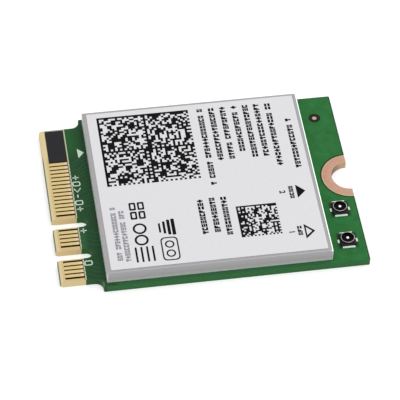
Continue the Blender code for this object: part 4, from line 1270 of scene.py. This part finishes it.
@dataclass
class AerialSocket:
    """One micro aerial socket: moulded base, lipped ring with three tabs, and centre pin."""

    name: str
    housing: Span = field(init=False)
    shell: Span = field(init=False)
    chamfer: float = 0.14
    bevel: float = 0.07
    base_softness: float = 0.05
    ring_radius: float = 0.70
    ring_wall: float = 0.08
    ring_sunk: float = 0.12
    ring_softness: float = 0.015
    crest: float = 0.04
    well_height: float = 0.01
    waist: float = 0.03
    lip: float = 0.08
    pin_radius: float = 0.15
    pin_edge: float = 0.04
    pin_steps: int = 32
    ground_tab: float = 1.24
    small_tab: float = 0.40
    small_tab_shift: float = 0.09
    tab_start: float = 0.80
    tab_end: float = 0.99
    tab_top: float = 0.91
    tab_edge: float = 0.02
    tab_share: float = 0.93
    tab_softness: float = 0.03

    def __post_init__(self) -> None:
        """Reads the socket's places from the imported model."""
        self.housing = Span.of(f"{self.name}_socket_housing")
        self.shell = Span.of(f"{self.name}_socket_shell")

    @property
    def centre(self) -> Point:
        """The socket's axis."""
        return self.housing.centre.x, self.housing.centre.y

    def turned(self, profile: Sequence[Point], steps: int = 64) -> list[Ring]:
        """Rings of a turned form about the socket's axis."""
        return [circle(self.centre, radius, height, steps) for radius, height in profile]

    def add_part(self, part: str, bm: BMesh, finish: Finish, node: str = "") -> None:
        """Makes a finished piece of the socket.

        Args:
            part: the piece's own name.
            bm: its mesh in the making.
            finish: its surface.
            node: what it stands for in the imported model, if anything.
        """
        replaced = [f"{self.name}_socket_{node}"] if node else []
        add_piece(f"{self.name}_socket_{part}", mesh_of(bm, part), finish, replaced)

    def build_housing(self) -> None:
        """Moulds the base with its cut corners and a bevelled upper edge."""
        floor, top = self.housing.low.z, self.housing.high.z
        half, cut = (self.housing.high.x - self.housing.low.x) / 2, self.chamfer
        x, y = self.centre
        outline = soften([
            (half, cut - half), (half, half - cut), (half - cut, half), (cut - half, half),
            (-half, half - cut), (-half, cut - half), (cut - half, -half), (half - cut, -half)],
            self.base_softness, 2)
        bm = bmesh.new()
        loft(bm, [[Vector((x + a * (1 - inset / half), y + b * (1 - inset / half), z)) for a, b in outline]
                  for inset, z in ((0.0, floor), (0.0, top - self.bevel), (self.bevel, top))])
        self.add_part("base", bm, MOULDING, "housing")

    def build_shell(self) -> None:
        """Turns the lipped ring and adds its three soldered tabs."""
        rim, seat, floor = self.shell.high.z, self.housing.high.z, self.shell.low.z
        foot = seat - self.ring_sunk
        outer, inner = self.ring_radius, self.ring_radius - self.ring_wall
        waist = outer - self.waist
        profile = [(outer - self.crest, rim), (outer, rim - self.crest), (outer, rim - self.lip),
                   (waist, rim - self.lip - self.waist), (waist, seat + self.waist), (outer, seat),
                   (outer, foot), (inner, foot), (inner, rim - self.crest / 2),
                   (inner + self.crest / 4, rim)]
        bm = bmesh.new()
        loft(bm, self.turned(soften(profile, self.ring_softness)), joined=True)
        self.add_tab(bm, 0.0, 90, self.ground_tab, floor)
        self.add_tab(bm, self.small_tab_shift, 180, self.small_tab, floor)
        self.add_tab(bm, 0.0, 270, self.ground_tab, floor)
        self.add_part("ring", bm, SOCKET_METAL, "shell")

    def add_tab(self, bm: BMesh, shift: float, turn: float, width: float, floor: float) -> None:
        """Adds one soldered tab with a soft upper edge.

        Args:
            bm: mesh that the tab joins.
            shift: distance from the socket's axis towards the near side.
            turn: side that the tab points to, in degrees.
            width: its width.
            floor: height of its underside.
        """
        x, y = self.centre
        out = (self.tab_start + self.tab_end) / 2
        outline = soften(oblong((0.0, 0.0), ((self.tab_end - self.tab_start) / 2, width / 2)),
                         self.tab_softness, 2)
        spin = Matrix.Rotation(math.radians(turn), 3, "Z")
        rows = ((1.0, floor), (1.0, self.tab_top - self.tab_edge), (self.tab_share, self.tab_top))
        loft(bm, [[Vector((x, y - shift, 0.0)) + spin @ Vector((out + a * share, b * share, height))
                   for a, b in outline] for share, height in rows])

    def build_well(self) -> None:
        """Lays a thin near-black floor on the insulator inside the ring, as painted shade."""
        level, top = self.housing.high.z, self.housing.high.z + self.well_height
        inner, outer = self.pin_radius, self.ring_radius - self.ring_wall
        bm = bmesh.new()
        loft(bm, self.turned([(outer, level), (outer, top), (inner, top), (inner, level)]), joined=True)
        self.add_part("well", bm, WELL_SHADE)

    def build_pin(self) -> None:
        """Turns the domed centre pin and adds its tab."""
        span = Span.of(f"{self.name}_socket_pin")
        tip, foot = span.high.z, span.low.z
        edge, flat = self.pin_edge, self.pin_radius - self.pin_edge
        dome = [(flat + edge * math.cos(a), tip - edge * (1 - math.sin(a)))
                for a in map(math.radians, (0, 22, 45, 68, 90))]
        bm = bmesh.new()
        loft(bm, self.turned([(self.pin_radius, foot), *dome], self.pin_steps))
        self.add_tab(bm, self.small_tab_shift, 0, self.small_tab, foot)
        self.add_part("centre", bm, PIN_METAL, "pin")

    def build(self) -> None:
        """Builds the socket."""
        self.build_housing()
        self.build_shell()
        self.build_well()
        self.build_pin()


@dataclass
class PartsUnderCan:
    """The chips and small parts that the can hides."""

    finishes: dict[str, Finish] = field(default_factory=lambda: {
        "chip_moulding": EPOXY, "tan_ceramic": TAN_CERAMIC, "dark_ceramic": DARK_CERAMIC,
        "tinned_steel": TINNED})
    dressed_elsewhere: tuple[str, ...] = ("shield_frame", "shield_cover")

    def build(self) -> None:
        """Gives each hidden part the finish of its material slot."""
        for row in frame["record"]["subparts"]:
            finish = self.finishes.get(row["material_slot"])
            if finish is not None and row["node"] not in self.dressed_elsewhere:
                dress_node(row["node"], finish)


# Studio


def seen_directly(tree: Tree) -> Source:
    """Tells rays from the camera, or by way of a mirror or glass, from those that only light.

    Args:
        tree: the tree that asks.

    Returns:
        1 for what is seen and 0 for what only lights.
    """
    rays = add_node(tree, "ShaderNodeLightPath").outputs
    seen = rays["Is Camera Ray"]
    for kind in ("Is Glossy Ray", "Is Transmission Ray"):
        seen = add_node(tree, "ShaderNodeMath", {0: seen, 1: rays[kind]}, operation="MAXIMUM")
    return seen


@dataclass(frozen=True)
class Lamp:
    """A soft square lamp, placed by its direction from the card."""

    name: str
    azimuth: float
    elevation: float
    distance: float
    side: float
    power: float

    def build(self) -> None:
        """Hangs the lamp so that it looks at the card."""
        turn, lift = math.radians(self.azimuth), math.radians(self.elevation)
        way = Vector((math.cos(turn) * math.cos(lift), math.sin(turn) * math.cos(lift), math.sin(lift)))
        data = bpy.data.lights.new(self.name, "AREA")
        data.shape = "SQUARE"
        data.size = self.side * MM
        data.energy = self.power
        item = new_object(self.name, data)
        item.location = way * self.distance * MM
        item.rotation_euler = way.to_track_quat("Z", "Y").to_euler()


@dataclass
class Studio:
    """A white paper floor, soft light and the camera. Only the clip distances are in metres."""

    azimuth: float = -9.76
    elevation: float = 48.60
    roll: float = 1.67
    distance: float = 233.8
    target: tuple[float, float, float] = (-0.20, -1.30, 0.8)
    lens: float = 213.6
    sensor: float = 36.0
    clip: Point = (0.01, 10.0)
    floor_half: float = 600.0
    floor_level: float = -0.02
    # Bands of the floor under the card: start and end along it, and the gaps across it
    openings: tuple[tuple[float, float, tuple[Point, ...]], ...] = (
        (-14.7, -11.4, ((-9.7, -7.45), (-5.8, -3.45), (-1.8, 9.7))),
        (-11.4, -10.75, ((-9.7, 9.7),)),
        (-10.75, 13.05, ((-10.8, 10.8),)),
        (13.05, 14.8, ((-10.8, -2.0), (2.0, 10.8))),
    )
    floor_shade: str = "#e6e6e6"
    light_shade: str = "#ffffff"
    world_fill: float = 0.70
    floor_glow: float = 0.45
    lamps: tuple[Lamp, ...] = (
        Lamp("lamp_right", 40.0, 28.0, 400.0, 260.0, 0.24),
        Lamp("lamp_above", -60.0, 70.0, 500.0, 300.0, 0.45),
    )

    def build_camera(self) -> None:
        """Stands the camera where the photograph was taken from."""
        turn, lift, tilt = (math.radians(a) for a in (self.azimuth, self.elevation, self.roll))
        back = Vector((math.sin(turn) * math.cos(lift), -math.cos(turn) * math.cos(lift), math.sin(lift)))
        right = Vector((math.cos(turn), math.sin(turn), 0.0))
        up = back.cross(right)
        level_right = right * math.cos(tilt) + up * math.sin(tilt)
        level_up = up * math.cos(tilt) - right * math.sin(tilt)
        place = (Vector(self.target) + back * self.distance) * MM
        data = bpy.data.cameras.new("camera")
        data.sensor_width = self.sensor
        data.lens = self.lens
        data.clip_start, data.clip_end = self.clip
        camera = new_object("camera", data)
        facing = Matrix((level_right, level_up, back)).transposed().to_4x4()
        camera.matrix_world = Matrix.Translation(place) @ facing
        bpy.context.scene.camera = camera

    def paper(self) -> Material:
        """White paper that is clear from below.

        Returns:
            The material.
        """
        material = bpy.data.materials.new("white studio paper")
        material.use_nodes = True
        tree = material.node_tree
        tree.nodes.remove(tree.nodes["Principled BSDF"])
        glow = add_node(tree, "ShaderNodeMath", {
            0: seen_directly(tree), 1: self.floor_glow}, operation="MULTIPLY")
        matt = add_node(tree, "ShaderNodeBsdfDiffuse", {"Color": self.floor_shade})
        light = add_node(tree, "ShaderNodeEmission", {"Color": self.light_shade, "Strength": glow})
        both = add_node(tree, "ShaderNodeAddShader", {0: matt, 1: light})
        clear = add_node(tree, "ShaderNodeBsdfTransparent")
        behind = add_node(tree, "ShaderNodeNewGeometry").outputs["Backfacing"]
        mixed = add_node(tree, "ShaderNodeMixShader", {0: behind, 1: both, 2: clear})
        set_inputs(tree, tree.nodes["Material Output"], {"Surface": mixed})
        return material

    def build_floor(self) -> None:
        """Lays the floor, which keeps a soft shadow.

        Under the card, where nothing shows from above, it is open and lets light reach the underside.
        """
        far = self.floor_half
        corners: list[tuple[float, float, float]] = []
        first, last = self.openings[0][0], self.openings[-1][1]
        for start, end, gaps in ((-far, first, ()), *self.openings, (last, far, ())):
            edge = -far
            for low, high in (*gaps, (far, far)):
                corners += [(x * MM, y * MM, self.floor_level * MM)
                            for x, y in ((start, edge), (end, edge), (end, low), (start, low))]
                edge = high
        mesh = bpy.data.meshes.new("floor")
        mesh.from_pydata(corners, [], [tuple(range(i, i + 4)) for i in range(0, len(corners), 4)])
        mesh.materials.append(self.paper())
        new_object("floor", mesh)

    def build_light(self) -> None:
        """Lights the card from all round, with soft lamps for shape."""
        world = bpy.data.worlds.new("white studio")
        world.use_nodes = True
        tree = world.node_tree
        strength = add_node(tree, "ShaderNodeMapRange", {
            "Value": seen_directly(tree), "To Min": self.world_fill, "To Max": 1.0})
        set_inputs(tree, tree.nodes["Background"], {"Color": self.light_shade, "Strength": strength})
        bpy.context.scene.world = world
        for lamp in self.lamps:
            lamp.build()

    def build(self) -> None:
        """Builds the studio round the card."""
        self.build_camera()
        self.build_floor()
        self.build_light()
        bpy.context.scene.view_settings.view_transform = "Standard"


def main() -> None:
    """Builds the card's looks in order, then its studio."""
    logging.basicConfig(level=logging.INFO, format="%(name)s %(message)s")
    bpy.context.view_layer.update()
    for part in (CardBoard(), ContactTongue(), ShieldCan(), PrintedLabel(),
                 *(AerialSocket(name) for name in SOCKETS), PartsUnderCan()):
        log.info("building %s", type(part).__name__)
        part.build()
    Studio().build()


if __name__ == "__main__":
    main()
